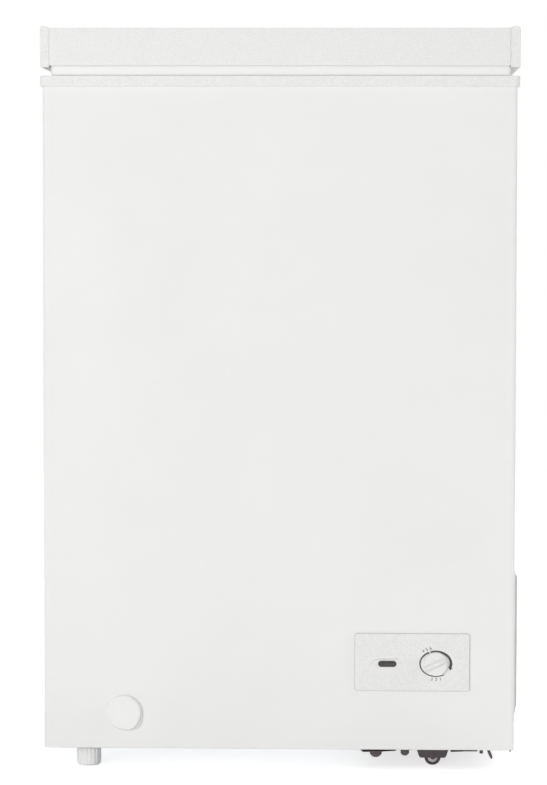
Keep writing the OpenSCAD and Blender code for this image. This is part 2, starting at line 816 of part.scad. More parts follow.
// bolts that hold the base plate, with head radius and head height
bolt_in = 20;
plate_bolts = [
    [can_x - 68.5, bolt_in, 7, 11], [can_x - 35, bolt_in, 5, 9],
    [can_x - 67, cabinet_d - bolt_in - 14, 5, 4.5], [can_x + 64, cabinet_d - bolt_in - 14, 5, 4.5]
];
plate_side = 3;
plate_front = 8;
plate_back = 12;
lip_t = 2;
lip_h = 1.6;
// lips turned down along the front edge, left and right of the roller bracket
lip_left_w = 40;
lip_right_w = 30;
// springy catch behind the front edge, bent from flat bar
catch_r = 9;
catch_x = half_w - 36;

module compressor_base() placed() color(black_steel) difference() {
    union() {
        block([machine_x + plate_side, plate_front, plate_z],
              [half_w - plate_side, cabinet_d - plate_back, edge_z]);
        // stiffening lips along the sides
        for (x = [machine_x + plate_side, half_w - plate_side - lip_t])
            block([x, plate_front, plate_z - lip_h],
                  [x + lip_t, cabinet_d - plate_back, plate_z + plate_t / 2]);
        for (lip = [[machine_x + plate_side, lip_left_w], [roller_x + bracket_top + 1, lip_right_w]])
            block([lip[0], plate_front, plate_z - lip_h],
                  [lip[0] + lip[1], plate_front + lip_t, plate_z + plate_t / 2]);
        // locating tab and curved catch along the front edge
        block([catch_x - 3, plate_front + 6, plate_z - 5],
              [catch_x + 1, plate_front + 8, plate_z + 1]);
        translate([catch_x, plate_front + 10, plate_z - catch_r * 0.8]) rotate([90, 0, 0])
            rotate_extrude(angle = 60, $fn = 48) translate([catch_r - 0.8, -1.5]) square([1.6, 3]);
    }
    for (p = can_feet) rod_z([p.x, p.y, plate_z - eps], bolt_r + seat, 5);
    for (p = plate_bolts) rod_z([p.x, p.y, plate_z - eps], bolt_r + seat, 5);
    // ventilation slots under the compressor
    for (i = [-2:2])
        block([can_x + i * 18 - 4, can_in - 38, plate_z - eps],
              [can_x + i * 18 + 4, can_in + 38, edge_z + eps]);
}

// rim around the compressor's feet, edge radius of its shell, and its weld flange
ear_r = 9;
can_edge = 22;
weld_out = 3;

module compressor() placed() color(black_steel) difference() {
    union() {
        // pressed foot plate
        translate([0, 0, foot_plate_z]) linear_extrude(foot_plate_t)
            plan(can_x - can_feet_w / 2 - ear_r, can_x + can_feet_w / 2 + ear_r,
                 can_in - can_feet_d / 2 - ear_r, can_in + can_feet_d / 2 + ear_r, ear_r);
        // two pressed halves with a weld flange at mid height
        translate([can_x, can_in, can_z - 1]) rotate_extrude($fn = 96) {
            r = can_r - weld_out;
            square([r - can_edge, can_h]);
            translate([0, can_edge]) square([r, can_h - 2 * can_edge]);
            intersection() {
                for (z = [can_edge, can_h - can_edge])
                    translate([r - can_edge, z]) circle(can_edge);
                square([r, can_h]);
            }
            translate([0, can_h * 0.48]) square([can_r, 4]);
        }
        for (s = stubs)
            rod_y([s[0], can_in + can_r * 0.6, s[1]], s[2] + stub_wall, can_r * 0.4 + stub_len);
    }
    for (p = can_feet) rod_z([p.x, p.y, foot_plate_z - eps], bolt_r + seat, 6);
}

// tube stubs on the compressor's back: x, height, tube radius
stubs = [[snap(can_x + can_r * 0.32), snap(can_z + can_h * 0.78), evap_r],
         [snap(can_x + can_r * 0.55), snap(can_z + can_h * 0.66), cond_r],
         [snap(can_x - can_r * 0.56), snap(can_z + can_h * 0.66), cond_r]];
stub_y = snap(can_in + can_r + stub_len);

grommet_r = 9.5;
grommet_rim = 4.5;

module compressor_grommets() placed() color(rubber)
    for (p = can_feet) difference() {
        union() {
            for (z = [edge_z, edge_z + grommet_h - grommet_rim])
                rod_z([p.x, p.y, z], grommet_r, grommet_rim);
            rod_z([p.x, p.y, edge_z], grommet_r - 3, grommet_h);
        }
        rod_z([p.x, p.y, edge_z - eps], bolt_r + seat, grommet_h + 2 * eps);
    }

module base_bolts() placed() color(zinc) {
    // compressor bolts, head below the base plate and nut above the foot
    for (p = can_feet) {
        translate([p.x, p.y, plate_z - 4]) cylinder(r = 5.5, h = 4, $fn = 6);
        rod_z([p.x, p.y, plate_z - eps], bolt_r, foot_plate_z + foot_plate_t + 9 - plate_z);
        translate([p.x, p.y, foot_plate_z + foot_plate_t]) cylinder(r = 5.5, h = 5, $fn = 6);
    }
    // round-headed bolts of the base plate itself
    for (p = plate_bolts) {
        rod_z([p.x, p.y, plate_z - eps], bolt_r, plate_t + eps);
        translate([p.x, p.y, plate_z]) rotate([180, 0, 0]) rotate_extrude() intersection() {
            square([p[2], p[3]]);
            union() {
                translate([0, p[3] - p[2] * 1.1]) circle(p[2] * 1.1);
                square([p[2], p[3] - p[2]]);
            }
        }
    }
}

starter_w = 48;
starter_h = 44;
starter_up = 18;
starter_in = 12;
starter_out = 26;
cable_slot_w = 8;
cable_slot_d = 10;

module starter_box() placed() color(black_steel) difference() {
    block([can_x - starter_w / 2, can_in + can_r - starter_in, can_z + starter_up],
          [can_x + starter_w / 2, can_in + can_r + starter_out, can_z + starter_up + starter_h]);
    rod_z([can_x, can_in, can_z], can_r - weld_out + seat, can_h);
    // cable slots in its lower face
    for (x = [-1.5 * cable_slot_w, 0.5 * cable_slot_w])
        block([can_x + x, can_in + can_r + cable_slot_w, can_z + starter_up - cable_slot_w],
              [can_x + x + cable_slot_w, can_in + can_r + cable_slot_w + cable_slot_d,
               can_z + starter_up + cable_slot_w]);
}

// From a stub back to a riser's place, across to it and up to the ceiling
module stub_to_riser(stub, x, y, r)
    tube([[stub[0], stub_y, stub[1]], [stub[0], y, stub[1]], [x, y, stub[1]],
          [x, y, machine_top]], r, pipe_bend);

module suction_tube() placed() color(copper)
    stub_to_riser(stubs[0], evap_x, evap_back + tail_gap, evap_r);

module discharge_tube() placed() color(copper)
    stub_to_riser(stubs[1], cond_x, cond_back, cond_r);

process_rise = 40;
pinch_w = 8;
pinch_t = 1.6;
pinch_len = 10;

module process_tube() placed() color(copper) {
    p = [stubs[2][0], stub_y + 2 * pipe_bend, stubs[2][1]];
    tube([[p.x, stub_y, p.z], p, p + [0, 0, process_rise]], cond_r, pipe_bend);
    // pinched and brazed end
    block(p + [-pinch_w / 2, -pinch_t / 2, process_rise - eps],
          p + [pinch_w / 2, pinch_t / 2, process_rise + pinch_len]);
}

// Filter drier: copper shell with drawn ends, and its turn down from the condenser
drier_r = 9;
drier_neck = 12;
drier_bend = 5;
drier_feed_r = 2.5;
capillary_r = 1.2;
capillary_wall = 1;
capillary_drop = 22;
capillary_bend = 12;
drier_side = 14;
drier_drop = 26;
drier_feed_up = 2;
drier_feed_wall = 0.7;
drier_x = cond_x - drier_side;
drier_y = cond_back + tail_gap;
drier_top = snap(machine_top - drier_drop);
drier_len = 86;
drier_low = drier_top - drier_len;

module filter_drier() placed() color(copper) {
    turn_z = machine_top - 2 * drier_bend - drier_feed_up;
    tube([[cond_x, drier_y, machine_top], [cond_x, drier_y, turn_z],
          [drier_x, drier_y, turn_z], [drier_x, drier_y, drier_top - eps]],
         drier_feed_r, drier_bend);
    translate([drier_x, drier_y, drier_low]) rotate_extrude()
        polygon([[0, 0], [capillary_r + capillary_wall, 0], [drier_r, drier_neck],
                 [drier_r, drier_len - drier_neck], [drier_feed_r + drier_feed_wall, drier_len],
                 [0, drier_len]]);
}

module capillary_tube() placed() color(copper) {
    z = drier_low - capillary_drop;
    tube([[drier_x, drier_y, drier_low], [drier_x, drier_y, z], [drier_x, evap_back, z],
          [evap_x, evap_back, z], [evap_x, evap_back, machine_top]], capillary_r,
         capillary_bend);
}

// Gland of the mains cord
cord_x = half_w - 40;
cord_z = edge_z + 16;
cord_r = 3.6;
cord_hole_r = 7;
cord_rim = 3;

module cord_grommet() placed() color(rubber) difference() {
    union() {
        rod_y([cord_x, cabinet_d - steel_t - cord_rim, cord_z], cord_hole_r + cord_rim, cord_rim);
        rod_y([cord_x, cabinet_d - steel_t - eps, cord_z], cord_hole_r - seat, steel_t + 2 * eps);
        rod_y([cord_x, cabinet_d, cord_z], cord_hole_r + cord_rim, cord_rim);
    }
    rod_y([cord_x, cabinet_d - steel_t - cord_rim - eps, cord_z], cord_r,
          steel_t + 2 * (cord_rim + eps));
}

// ---------- feet and rollers ----------

bracket_t = 1.6;
bracket_half = roller_w / 2 + 2 * bracket_t;
bracket_top = 20;
bracket_low = 15;
// metal left around the axle's hole, and the chamfer of the cheeks' lower corners
bracket_edge = 1;
bracket_cut = 2.5;
axle_head_t = 1;
axle_head_w = 0.7;

// Outline of a cheek: it narrows downwards and ends just below the axle's hole
module bracket_cheek() {
    low = roller_r - axle_r - bracket_edge;
    polygon([[roller_x - bracket_top, plate_z], [roller_x + bracket_top, plate_z],
             [roller_x + bracket_low, low + bracket_cut],
             [roller_x + bracket_low - bracket_cut, low],
             [roller_x - bracket_low + bracket_cut, low],
             [roller_x - bracket_low, low + bracket_cut]]);
}

module roller_brackets() placed() color(black_steel)
    for (y = roller_ys) difference() {
        union() {
            block([roller_x - bracket_top, y - bracket_half, plate_z - bracket_t],
                  [roller_x + bracket_top, y + bracket_half, plate_z]);
            for (s = [-1, 1])
                front_profile(y + s * (bracket_half - bracket_t / 2) - bracket_t / 2, bracket_t)
                    bracket_cheek();
        }
        rod_y([roller_x, y - bracket_half - eps, roller_r], axle_r + run,
              2 * (bracket_half + eps));
    }

module roller_axles() placed() color(zinc)
    for (y = roller_ys) {
        rod_y([roller_x, y - bracket_half - eps, roller_r], axle_r, 2 * (bracket_half + eps));
        for (s = [-1, 1])
            rod_y([roller_x, y + s * (bracket_half + axle_head_t / 2) - axle_head_t / 2, roller_r],
                  axle_r + axle_head_w, axle_head_t);
    }

module roller(y) placed() color("#4b4b4d") translate([roller_x, y, roller_r]) rotate([90, 0, 0])
    rotate_extrude($fn = 64) {
        w = roller_w / 2;
        polygon([[axle_r + run, -w], [4, -w], [4.6, 1.4 - w], [roller_r - 3.4, 1.4 - w],
                 [roller_r - 2.6, -w + 0.4], [roller_r - 0.6, -w + 0.8], [roller_r, 2 - w],
                 [roller_r, w - 2], [roller_r - 0.6, w - 0.8], [roller_r - 2.6, w - 0.4],
                 [roller_r - 3.4, w - 1.4], [4.6, w - 1.4], [4, w], [axle_r + run, w]]);
    }

module roller_front() roller(roller_ys[0]);
module roller_rear() roller(roller_ys[1]);

module foot_inserts() placed() color(zinc)
    for (y = foot_ys) difference() {
        union() {
            rod_z([foot_x, y, pan_top], insert_r, insert_h);
            rod_z([foot_x, y, pan_z], insert_neck_r - seat, steel_t + eps);
        }
        rod_z([foot_x, y, pan_z - eps], stud_r + run, insert_h + steel_t + 2 * eps);
    }

module foot_stud(y) placed() color(zinc)
    rod_z([foot_x, y, stud_low], stud_r, stud_top - stud_low);
module foot_stud_front() foot_stud(foot_ys[0]);
module foot_stud_rear() foot_stud(foot_ys[1]);

// Ribbed foot: a fluted bar turned to a bevelled end, with a blind bore for the stud
module levelling_foot(y) placed() color("#dcdcdc") translate([foot_x, y, 0]) difference() {
    intersection() {
        linear_extrude(foot_h)
            polygon([for (i = [0:95])
                (foot_r - (i % 4 < 2 ? 0 : 0.9)) * [cos(i * 3.75), sin(i * 3.75)]]);
        rotate_extrude($fn = 64)
            polygon([[0, 0], [foot_r - 2, 0], [foot_r - 0.6, 1.2], [foot_r + 1, 5],
                     [foot_r + 1, foot_h - 1.5], [foot_r - 1.5, foot_h], [0, foot_h]]);
    }
    rod_z([0, 0, stud_low - gap], stud_r + run, foot_h);
}
module foot_front() levelling_foot(foot_ys[0]);
module foot_rear() levelling_foot(foot_ys[1]);

// ---------- hinges ----------

hinge_holes = [for (x = [-hinge_hole_x, hinge_hole_x],
                    z = [hinge_low + hinge_hole_up, hinge_top - hinge_hole_down]) [x, z]];

module hinge_screw_holes(side, r)
    for (p = hinge_holes)
        rod_y([side * hinge_x + p[0], cabinet_d - screw_len, p[1]], r, screw_len + hinge_t + eps);

// Channel on the cabinet's back: web, two cheeks to the pivot, spring shelf and guide
module hinge_base(side) placed() color(zinc) difference() {
    x0 = side * hinge_x - hinge_w / 2;
    x1 = side * hinge_x + hinge_w / 2;
    union() {
        block([x0, cabinet_d, hinge_low], [x1, cabinet_d + hinge_t, hinge_top]);
        for (x = [x0, x1 - hinge_t]) side_profile(x, hinge_t) {
            polygon([[cabinet_d, hinge_low], [cabinet_d + toe_out, hinge_low],
                     [pivot_y + knuckle_r, hinge_low + toe_rise], [pivot_y + knuckle_r, pivot_z],
                     [pivot_y - knuckle_r, pivot_z], [pivot_y - knuckle_r, hinge_top],
                     [cabinet_d, hinge_top]]);
            translate([pivot_y, pivot_z]) circle(knuckle_r);
        }
        block([x0, cabinet_d, shelf_z], [x1, cabinet_d + channel_back - 2, shelf_z + hinge_t]);
        block([x0, cabinet_d, guide_z], [x1, spring_y + plunger_r + 2, guide_z + guide_t]);
        // spring peg
        rod_z([side * hinge_x, spring_y, shelf_z + hinge_t - eps],
              spring_r - spring_wire - gap, peg_h);
    }
    rod_z([side * hinge_x, spring_y, guide_z - eps], plunger_r + seat, guide_t + 2 * eps);
    rod_x([x0 - eps, pivot_y, pivot_z], pin_r + run, hinge_w + 2 * eps);
    hinge_screw_holes(side, screw_pass_r);
}
module hinge_base_left() hinge_base(-1);
module hinge_base_right() hinge_base(1);

module hinge_pins() placed() color(zinc)
    for (s = [-1, 1]) {
        rod_x([s * hinge_x - hinge_w / 2 - head_h, pivot_y, pivot_z], pin_r,
              hinge_w + 2 * head_h);
        for (x = [-hinge_w / 2 - head_h, hinge_w / 2])
            rod_x([s * hinge_x + x, pivot_y, pivot_z], washer_r, head_h);
    }

// Plastic shroud around each channel, open at the top and towards the cabinet
module hinge_covers() placed() color(white_plastic)
    for (s = [-1, 1]) {
        w = hinge_w / 2 + gap;
        y0 = cabinet_d;
        y1 = cabinet_d + cover_back;
        difference() {
            side_profile(s * hinge_x - w - cover_t, 2 * (w + cover_t))
                polygon([[y0 + gap, hinge_low - cover_t - gap],
                         [y0 + toe_out + cover_t / 2, hinge_low - cover_t - gap],
                         [y1, hinge_low + toe_rise - cover_t],
                         [y1, hinge_top], [y0 + gap, hinge_top]]);
            side_profile(s * hinge_x - w, 2 * w)
                polygon([[y0 - eps, hinge_low - gap], [y0 + toe_out + gap, hinge_low - gap],
                         [y1 - cover_t, hinge_low + toe_rise - cover_t / 2],
                         [y1 - cover_t, hinge_top + eps], [y0 - eps, hinge_top + eps]]);
        }
    }

module hinge_screws() placed() color(zinc)
    for (s = [-1, 1], p = hinge_holes) {
        rod_y([s * hinge_x + p[0], cabinet_d - screw_len + 2 * eps, p[1]], screw_r,
              screw_len - eps + hinge_t);
        rod_y([s * hinge_x + p[0], cabinet_d + hinge_t, p[1]], hinge_head_r, head_h);
    }

// Cup that rides on the spring and is pushed by the lever pin
module hinge_plunger(side) placed() color(black_steel) difference() {
    rod_z([side * hinge_x, spring_y, plunger_top - plunger_len], plunger_r, plunger_len);
    rod_z([side * hinge_x, spring_y, plunger_top - plunger_len - eps],
          plunger_r - plunger_wall, plunger_len - plunger_cap + eps);
}
module hinge_plunger_left() hinge_plunger(-1);
module hinge_plunger_right() hinge_plunger(1);

// Helical spring swept as one closed surface
module hinge_spring(side) placed() color("#8d9094") {
    turns = 11;
    per = 14;
    sides = 6;
    low = spring_low + spring_wire;
    high = spring_top - spring_wire;
    rings = turns * per;
    points = [for (i = [0:rings], k = [0:sides - 1])
        let (t = 360 * i / per, a = 360 * k / sides,
             z = low + (high - low) * i / rings,
             rr = spring_r + spring_wire * cos(a))
        [rr * cos(t), rr * sin(t), z + spring_wire * sin(a)]];
    walls = [for (i = [0:rings - 1], k = [0:sides - 1])
        let (n = (k + 1) % sides)
        [i * sides + k, i * sides + n, (i + 1) * sides + n, (i + 1) * sides + k]];
    translate([side * hinge_x, spring_y, 0])
        polyhedron(points, concat(walls,
            [[for (k = [sides - 1:-1:0]) k], [for (k = [0:sides - 1]) rings * sides + k]]));
}
module hinge_spring_left() hinge_spring(-1);
module hinge_spring_right() hinge_spring(1);

// ---------- lid ----------

rail_x = lid_half - cap_w;
skin_z = lid_top - rail_t;
panel_lap = 6;
panel_step = 1.2;
// radius of the rails' outer edges
lid_edge_r = 2;

// C-shaped rail between the side caps, with its face at y and its flanges towards inward
module lid_rail(y, inward) side_profile(-rail_x, 2 * rail_x) difference() {
    deep = y + inward * (rail_w + 2 * lid_edge_r);
    plan(min(y, deep), max(y, deep), lid_z, lid_top, lid_edge_r);
    // hollow between the flanges, and the far end that the flanges don't reach
    translate([min(y + inward * rail_t, deep), lid_z + rail_t])
        square([abs(deep - y) - rail_t, lid_face_h - 2 * rail_t]);
    translate([min(y + inward * rail_w, deep + inward * eps), lid_z - eps])
        square([2 * lid_edge_r + eps, lid_face_h + 2 * eps]);
}

module lid_front_rail() placed() color(white_plastic) lid_rail(lid_front, 1);
module lid_back_rail() placed() color(white_plastic) difference() {
    lid_rail(lid_back, -1);
    arm_screw_holes(screw_hole_r);
}

module lid_panel() placed() color(white_plastic) {
    block([-rail_x, lid_front + rail_w, skin_z], [rail_x, lid_back - rail_w, lid_top]);
    // step under the rails that keeps the surface flush
    block([-rail_x, lid_front + rail_w - panel_lap, skin_z - panel_step],
          [rail_x, lid_back - rail_w + panel_lap, skin_z]);
}

// how far the caps stand proud of the front and back rails, and their upper edge radius
cap_proud = 0.4;
cap_edge_r = 3;
// width of the slope by which a cap comes down to the lid's top
cap_slope = 3;

// Side cap: a rounded channel running front to back, closed at both ends
module cap_section(t) {
    r = cap_edge_r - t / 2;
    low_r = 1;
    x0 = rail_x + (t > 0 ? -eps : 0);
    x1 = lid_half - t;
    z0 = cap_low + t;
    z1 = cap_top - t;
    translate([x0, z0 + low_r]) square([x1 - x0, z1 - z0 - low_r - r]);
    translate([x0, z0]) square([x1 - x0 - low_r, z1 - z0 - r]);
    translate([x0, z0])
        polygon([[0, 0], [x1 - x0 - r, 0], [x1 - x0 - r, z1 - z0], [cap_slope, z1 - z0],
                 [0, z1 - z0 - cap_rise]]);
    translate([x1 - r, z1 - r]) circle(r);
    translate([x1 - low_r, z0 + low_r]) circle(low_r);
}

module lid_cap(side) placed() color(white_plastic) mirror([side < 0 ? 1 : 0, 0, 0])
    difference() {
        front_profile(lid_front - cap_proud, lid_back - lid_front + 2 * cap_proud)
            cap_section(0);
        front_profile(lid_front + rail_t, lid_back - lid_front - 2 * rail_t) cap_section(rail_t);
    }
module lid_cap_left() lid_cap(-1);
module lid_cap_right() lid_cap(1);

pan_in = ledge_in + 5;
pan_t = 1.5;

module lid_foam() placed() color(foam_cream) difference() {
    block([-rail_x, lid_front + rail_t, lid_z + rail_t],
          [rail_x, lid_back - rail_t, skin_z - panel_step]);
    arm_screw_holes(screw_hole_r);
}

module lid_liner() placed() color("#f4f4f4") difference() {
    union() {
        block([-rail_x, lid_front + rail_w, lid_z], [rail_x, lid_back - rail_w, lid_z + rail_t]);
        inset_block(pan_in, liner_r, rim_z - pan_drop, lid_z + eps);
    }
    inset_block(pan_in + pan_t, liner_r - pan_t, rim_z - pan_drop + pan_t, lid_z + rail_t + eps);
}

// Flat ring whose edges lie two given distances inside the lid's edge
module lid_ring(a, b, z0, z1)
    translate([0, 0, z0]) linear_extrude(z1 - z0) difference() {
        plan(a - lid_half, lid_half - a, lid_front + a, lid_back - a, 12);
        plan(b - lid_half, lid_half - b, lid_front + b, lid_back - b, 4);
    }

// Gasket: magnetic foot, narrower bellows and mounting strip
module lid_gasket() placed() color("#fafafa") {
    foot = rim_z + gap;
    height = lid_z - foot;
    far = gasket_in + gasket_w;
    lid_ring(gasket_in, far, foot, foot + height * 0.34);
    lid_ring(gasket_in + 2, far - 2.5, foot + height * 0.34, foot + height * 0.72);
    lid_ring(gasket_in + 0.6, far - 1, foot + height * 0.72, lid_z);
}

// screws that hold the arms to the back rail: their heights
arm_holes = [lid_z + 14, lid_z + 32];
module arm_screw_holes(r)
    for (s = [-1, 1], z = arm_holes)
        rod_y([s * hinge_x, lid_back - screw_len - eps, z], r, screw_len + ear_t + 2 * eps);

// Lid half of the hinge: plate on the back rail, two ears to the pivot and the push pin
module hinge_arm(side) placed() color(zinc) difference() {
    x0 = side * hinge_x - ear_x;
    low = lid_z + arm_in;
    high = lid_top - arm_in + 1;
    union() {
        block([x0, lid_back, low], [x0 + 2 * ear_x, lid_back + ear_t, high]);
        for (x = [x0, x0 + 2 * ear_x - ear_t]) side_profile(x, ear_t) {
            polygon([[lid_back, low], [lid_back + 1, high], [lid_back + arm_in, high],
                     [pivot_y + eye_r, pivot_z + 2], [pivot_y, pivot_z - eye_r + 0.5],
                     [push_y - 1, push_z - push_eye_r + 0.1], [push_y - push_eye_r, push_z]]);
            translate([pivot_y, pivot_z]) circle(eye_r);
            translate([push_y, push_z]) circle(push_eye_r);
        }
        rod_x([x0, push_y, push_z], pin_r, 2 * ear_x);
    }
    rod_x([x0 - eps, pivot_y, pivot_z], pin_r + run, 2 * (ear_x + eps));
    arm_screw_holes(screw_pass_r);
}
module hinge_arm_left() hinge_arm(-1);
module hinge_arm_right() hinge_arm(1);

module lid_screws() placed() color(zinc)
    for (s = [-1, 1], z = arm_holes) {
        rod_y([s * hinge_x, lid_back - screw_len, z], screw_r, screw_len + ear_t + eps);
        rod_y([s * hinge_x, lid_back + ear_t, z], hinge_head_r, head_h);
    }

// ---------- basket ----------

// Grid of square windows in a w by h sheet, leaving wires of the same thickness
module wire_sheet(w, h) {
    nx = round((w - wire_t) / wire_gap);
    nz = max(1, round((h - wire_t) / (wire_gap * 1.6)));
    px = (w - wire_t) / nx;
    pz = (h - wire_t) / nz;
    difference() {
        square([w, h]);
        for (i = [0:nx - 1], k = [0:nz - 1])
            translate([wire_t + i * px, wire_t + k * pz]) square([px - wire_t, pz - wire_t]);
    }
}

module basket() placed() color("#f2f2f2") {
    x0 = basket_x0;
    x1 = x0 + basket_w;
    y0 = basket_y0;
    y1 = y0 + basket_d;
    z0 = basket_rim - basket_h;
    translate([x0, y0, z0]) linear_extrude(wire_t) wire_sheet(basket_w, basket_d);
    for (x = [x0, x1 - wire_t])
        translate([x, y0, z0]) rotate([90, 0, 90]) linear_extrude(wire_t) wire_sheet(basket_d, basket_h);
    for (y = [y0, y1 - wire_t])
        translate([x0, y + wire_t, z0]) rotate([90, 0, 0]) linear_extrude(wire_t)
            wire_sheet(basket_w, basket_h);
    // rim bars that hang on the ledges
    reach = y0 + wire_t - ledge_in - hook_gap;
    for (y = [ledge_in + hook_gap, y1 - wire_t])
        block([x0 + hook_in, y, basket_rim - wire_t], [x1 - hook_in, y + reach, basket_rim]);
}

// ---------- parts ----------

outer_shell();
back_panel();
base_pan();
compartment_wall();
liner();
foam();
evaporator_tube();
condenser_tube();
top_frame();
control_panel();
indicator_lens();
indicator_lamp();
thermostat();
thermostat_knob();
drain_pipe();
drain_cap();
drain_plug();
side_grille();
side_grille_screws();
compressor_base();
compressor();
compressor_grommets();
base_bolts();
starter_box();
suction_tube();
discharge_tube();
process_tube();
filter_drier();
capillary_tube();
cord_grommet();
roller_brackets();
roller_axles();
roller_front();
roller_rear();
foot_inserts();
foot_stud_front();
foot_stud_rear();
foot_front();
foot_rear();
hinge_base_left();
hinge_base_right();
hinge_pins();
hinge_covers();
hinge_screws();
hinge_plunger_left();
hinge_plunger_right();
hinge_spring_left();
hinge_spring_right();
lid_panel();
lid_front_rail();
lid_back_rail();
lid_cap_left();
lid_cap_right();
lid_foam();
lid_liner();
lid_gasket();
hinge_arm_left();
hinge_arm_right();
lid_screws();
basket();
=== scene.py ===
import math

import bmesh
import bpy
import numpy as np
from mathutils import Matrix, Vector


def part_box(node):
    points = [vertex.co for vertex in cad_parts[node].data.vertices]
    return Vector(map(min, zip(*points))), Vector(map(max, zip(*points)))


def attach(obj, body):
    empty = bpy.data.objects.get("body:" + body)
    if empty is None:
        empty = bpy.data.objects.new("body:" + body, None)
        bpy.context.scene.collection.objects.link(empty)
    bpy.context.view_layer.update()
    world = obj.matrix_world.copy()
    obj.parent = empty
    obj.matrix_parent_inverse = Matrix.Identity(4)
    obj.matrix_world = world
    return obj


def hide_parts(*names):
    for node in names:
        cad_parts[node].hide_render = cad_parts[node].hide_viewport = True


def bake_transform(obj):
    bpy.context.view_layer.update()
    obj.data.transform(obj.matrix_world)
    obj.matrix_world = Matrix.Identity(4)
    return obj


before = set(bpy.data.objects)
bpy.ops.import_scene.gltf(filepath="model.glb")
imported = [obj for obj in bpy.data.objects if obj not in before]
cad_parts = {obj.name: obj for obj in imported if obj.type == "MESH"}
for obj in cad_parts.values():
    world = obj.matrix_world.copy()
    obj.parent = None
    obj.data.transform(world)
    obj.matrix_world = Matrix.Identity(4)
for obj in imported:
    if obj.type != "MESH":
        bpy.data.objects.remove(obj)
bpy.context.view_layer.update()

mm = 0.001
shellLow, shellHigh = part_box("outer_shell")
middleX = (shellLow.x + shellHigh.x) / 2
frontY = shellLow.y
finishes = {}


def linear(hexColor):
    # an sRGB hex value as linear red, green, blue and full alpha
    rgb = np.array([int(hexColor[i:i + 2], 16) for i in (1, 3, 5)]) / 255
    lin = np.where(rgb <= 0.04045, rgb / 12.92, ((rgb + 0.055) / 1.055) ** 2.4)
    return (*lin.tolist(), 1.0)


def addNode(tree, kind, inputs=None, **settings):
    # adds a node, sets its options, and gives each input a value or a link
    node = tree.nodes.new(kind)
    for name, value in settings.items():
        setattr(node, name, value)
    for name, value in (inputs or {}).items():
        if isinstance(value, bpy.types.NodeSocket):
            tree.links.new(value, node.inputs[name])
        else:
            node.inputs[name].default_value = value
    return node


def newMaterial(name, color, **sockets):
    # a Principled surface; further sockets by name, with underscores for spaces
    material = bpy.data.materials.new(name)
    material.use_nodes = True
    material.diffuse_color = linear(color)
    tree = material.node_tree
    shader = tree.nodes["Principled BSDF"]
    shader.inputs["Base Color"].default_value = linear(color)
    for socket, value in sockets.items():
        shader.inputs[socket.replace("_", " ")].default_value = value
    return material, tree, shader


def corners(node):
    # the low and the high corner of a solid's box
    low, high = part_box(node)
    return np.array(low), np.array(high)


def centreOf(node):
    # halfway between the two corners of its box
    return sum(corners(node)) / 2


def smoothStep(low, high, value):
    # 0 below low and 1 above high; between them three squares less two cubes of the share
    t = np.clip((value - low) / (high - low), 0, 1)
    return t * t * (3 - 2 * t)


def spokes(angle):
    # points on a circle of radius 1 at the given angles
    return np.stack([np.cos(angle), np.sin(angle)], axis=-1)


def circle(steps):
    # such points at even steps all the way round
    return spokes(np.linspace(0, 2 * np.pi, steps, endpoint=False))


def gridFaces(rows, cols, wrapRows=False, caps=()):
    # quads between neighbouring points of a grid stored row by row, whose rows close on
    # themselves, and one face over each row named in caps
    index = np.arange(rows * cols).reshape(rows, cols)
    if wrapRows:
        index = np.vstack([index, index[:1]])
    index = np.hstack([index, index[:, :1]])
    quads = [index[:-1, :-1], index[:-1, 1:], index[1:, 1:], index[1:, :-1]]
    return (np.stack(quads, axis=-1).reshape(-1, 4).tolist()
            + [index[row, :-1].tolist() for row in caps])


def cleaned(mesh):
    # the mesh with doubles merged, faces without area gone and the rest turned outwards
    work = bmesh.new()
    work.from_mesh(mesh)
    bmesh.ops.remove_doubles(work, verts=work.verts, dist=1e-6)
    bmesh.ops.dissolve_degenerate(work, edges=work.edges, dist=1e-7)
    bmesh.ops.recalc_face_normals(work, faces=work.faces)
    work.to_mesh(mesh)
    work.free()
    return mesh


def finishPiece(name, mesh, slot, body, replaced=(), sharp=40, material=None):
    # an object from a mesh, smooth up to the sharp angle and on its body;
    # it has the slot's own finish unless another material is given
    mesh.materials.clear()
    mesh.materials.append(material or finishes[slot])
    mesh.polygons.foreach_set("use_smooth", np.ones(len(mesh.polygons), bool))
    mesh.set_sharp_from_angle(angle=math.radians(sharp))
    mesh.update()
    piece = bpy.data.objects.new(name, mesh)
    bpy.context.scene.collection.objects.link(piece)
    if body:
        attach(piece, body)
    if replaced:
        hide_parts(*replaced)
    return piece


def newPiece(name, points, faces, *placing, **settings):
    # a piece from points and faces, with finishPiece's own slot, body and settings
    mesh = bpy.data.meshes.new(name)
    mesh.from_pydata(np.asarray(points).reshape(-1, 3).tolist(), [], faces)
    return finishPiece(name, cleaned(mesh), *placing, **settings)


def joinGrids(grids):
    # several (points, faces) pairs as one
    points, faces, count = [], [], 0
    for gridPoints, gridQuads in grids:
        gridPoints = np.asarray(gridPoints).reshape(-1, 3)
        points.append(gridPoints)
        faces.extend([[i + count for i in face] for face in gridQuads])
        count += len(gridPoints)
    return np.vstack(points), faces


def onWall(flat, y):
    # points given by x and z, each set at its depth y
    return np.stack([flat[..., 0], np.broadcast_to(y, flat.shape[:-1]), flat[..., 1]], axis=-1)


def pressed(outline, near, far):
    # a flat outline of x and z given a thickness from near to far along y
    outline = np.array(outline)
    count = len(outline)
    faces = [list(range(count)), list(range(2 * count - 1, count - 1, -1))]
    faces += [[i, (i + 1) % count, count + (i + 1) % count, count + i] for i in range(count)]
    return np.vstack([onWall(outline, near), onWall(outline, far)]), faces


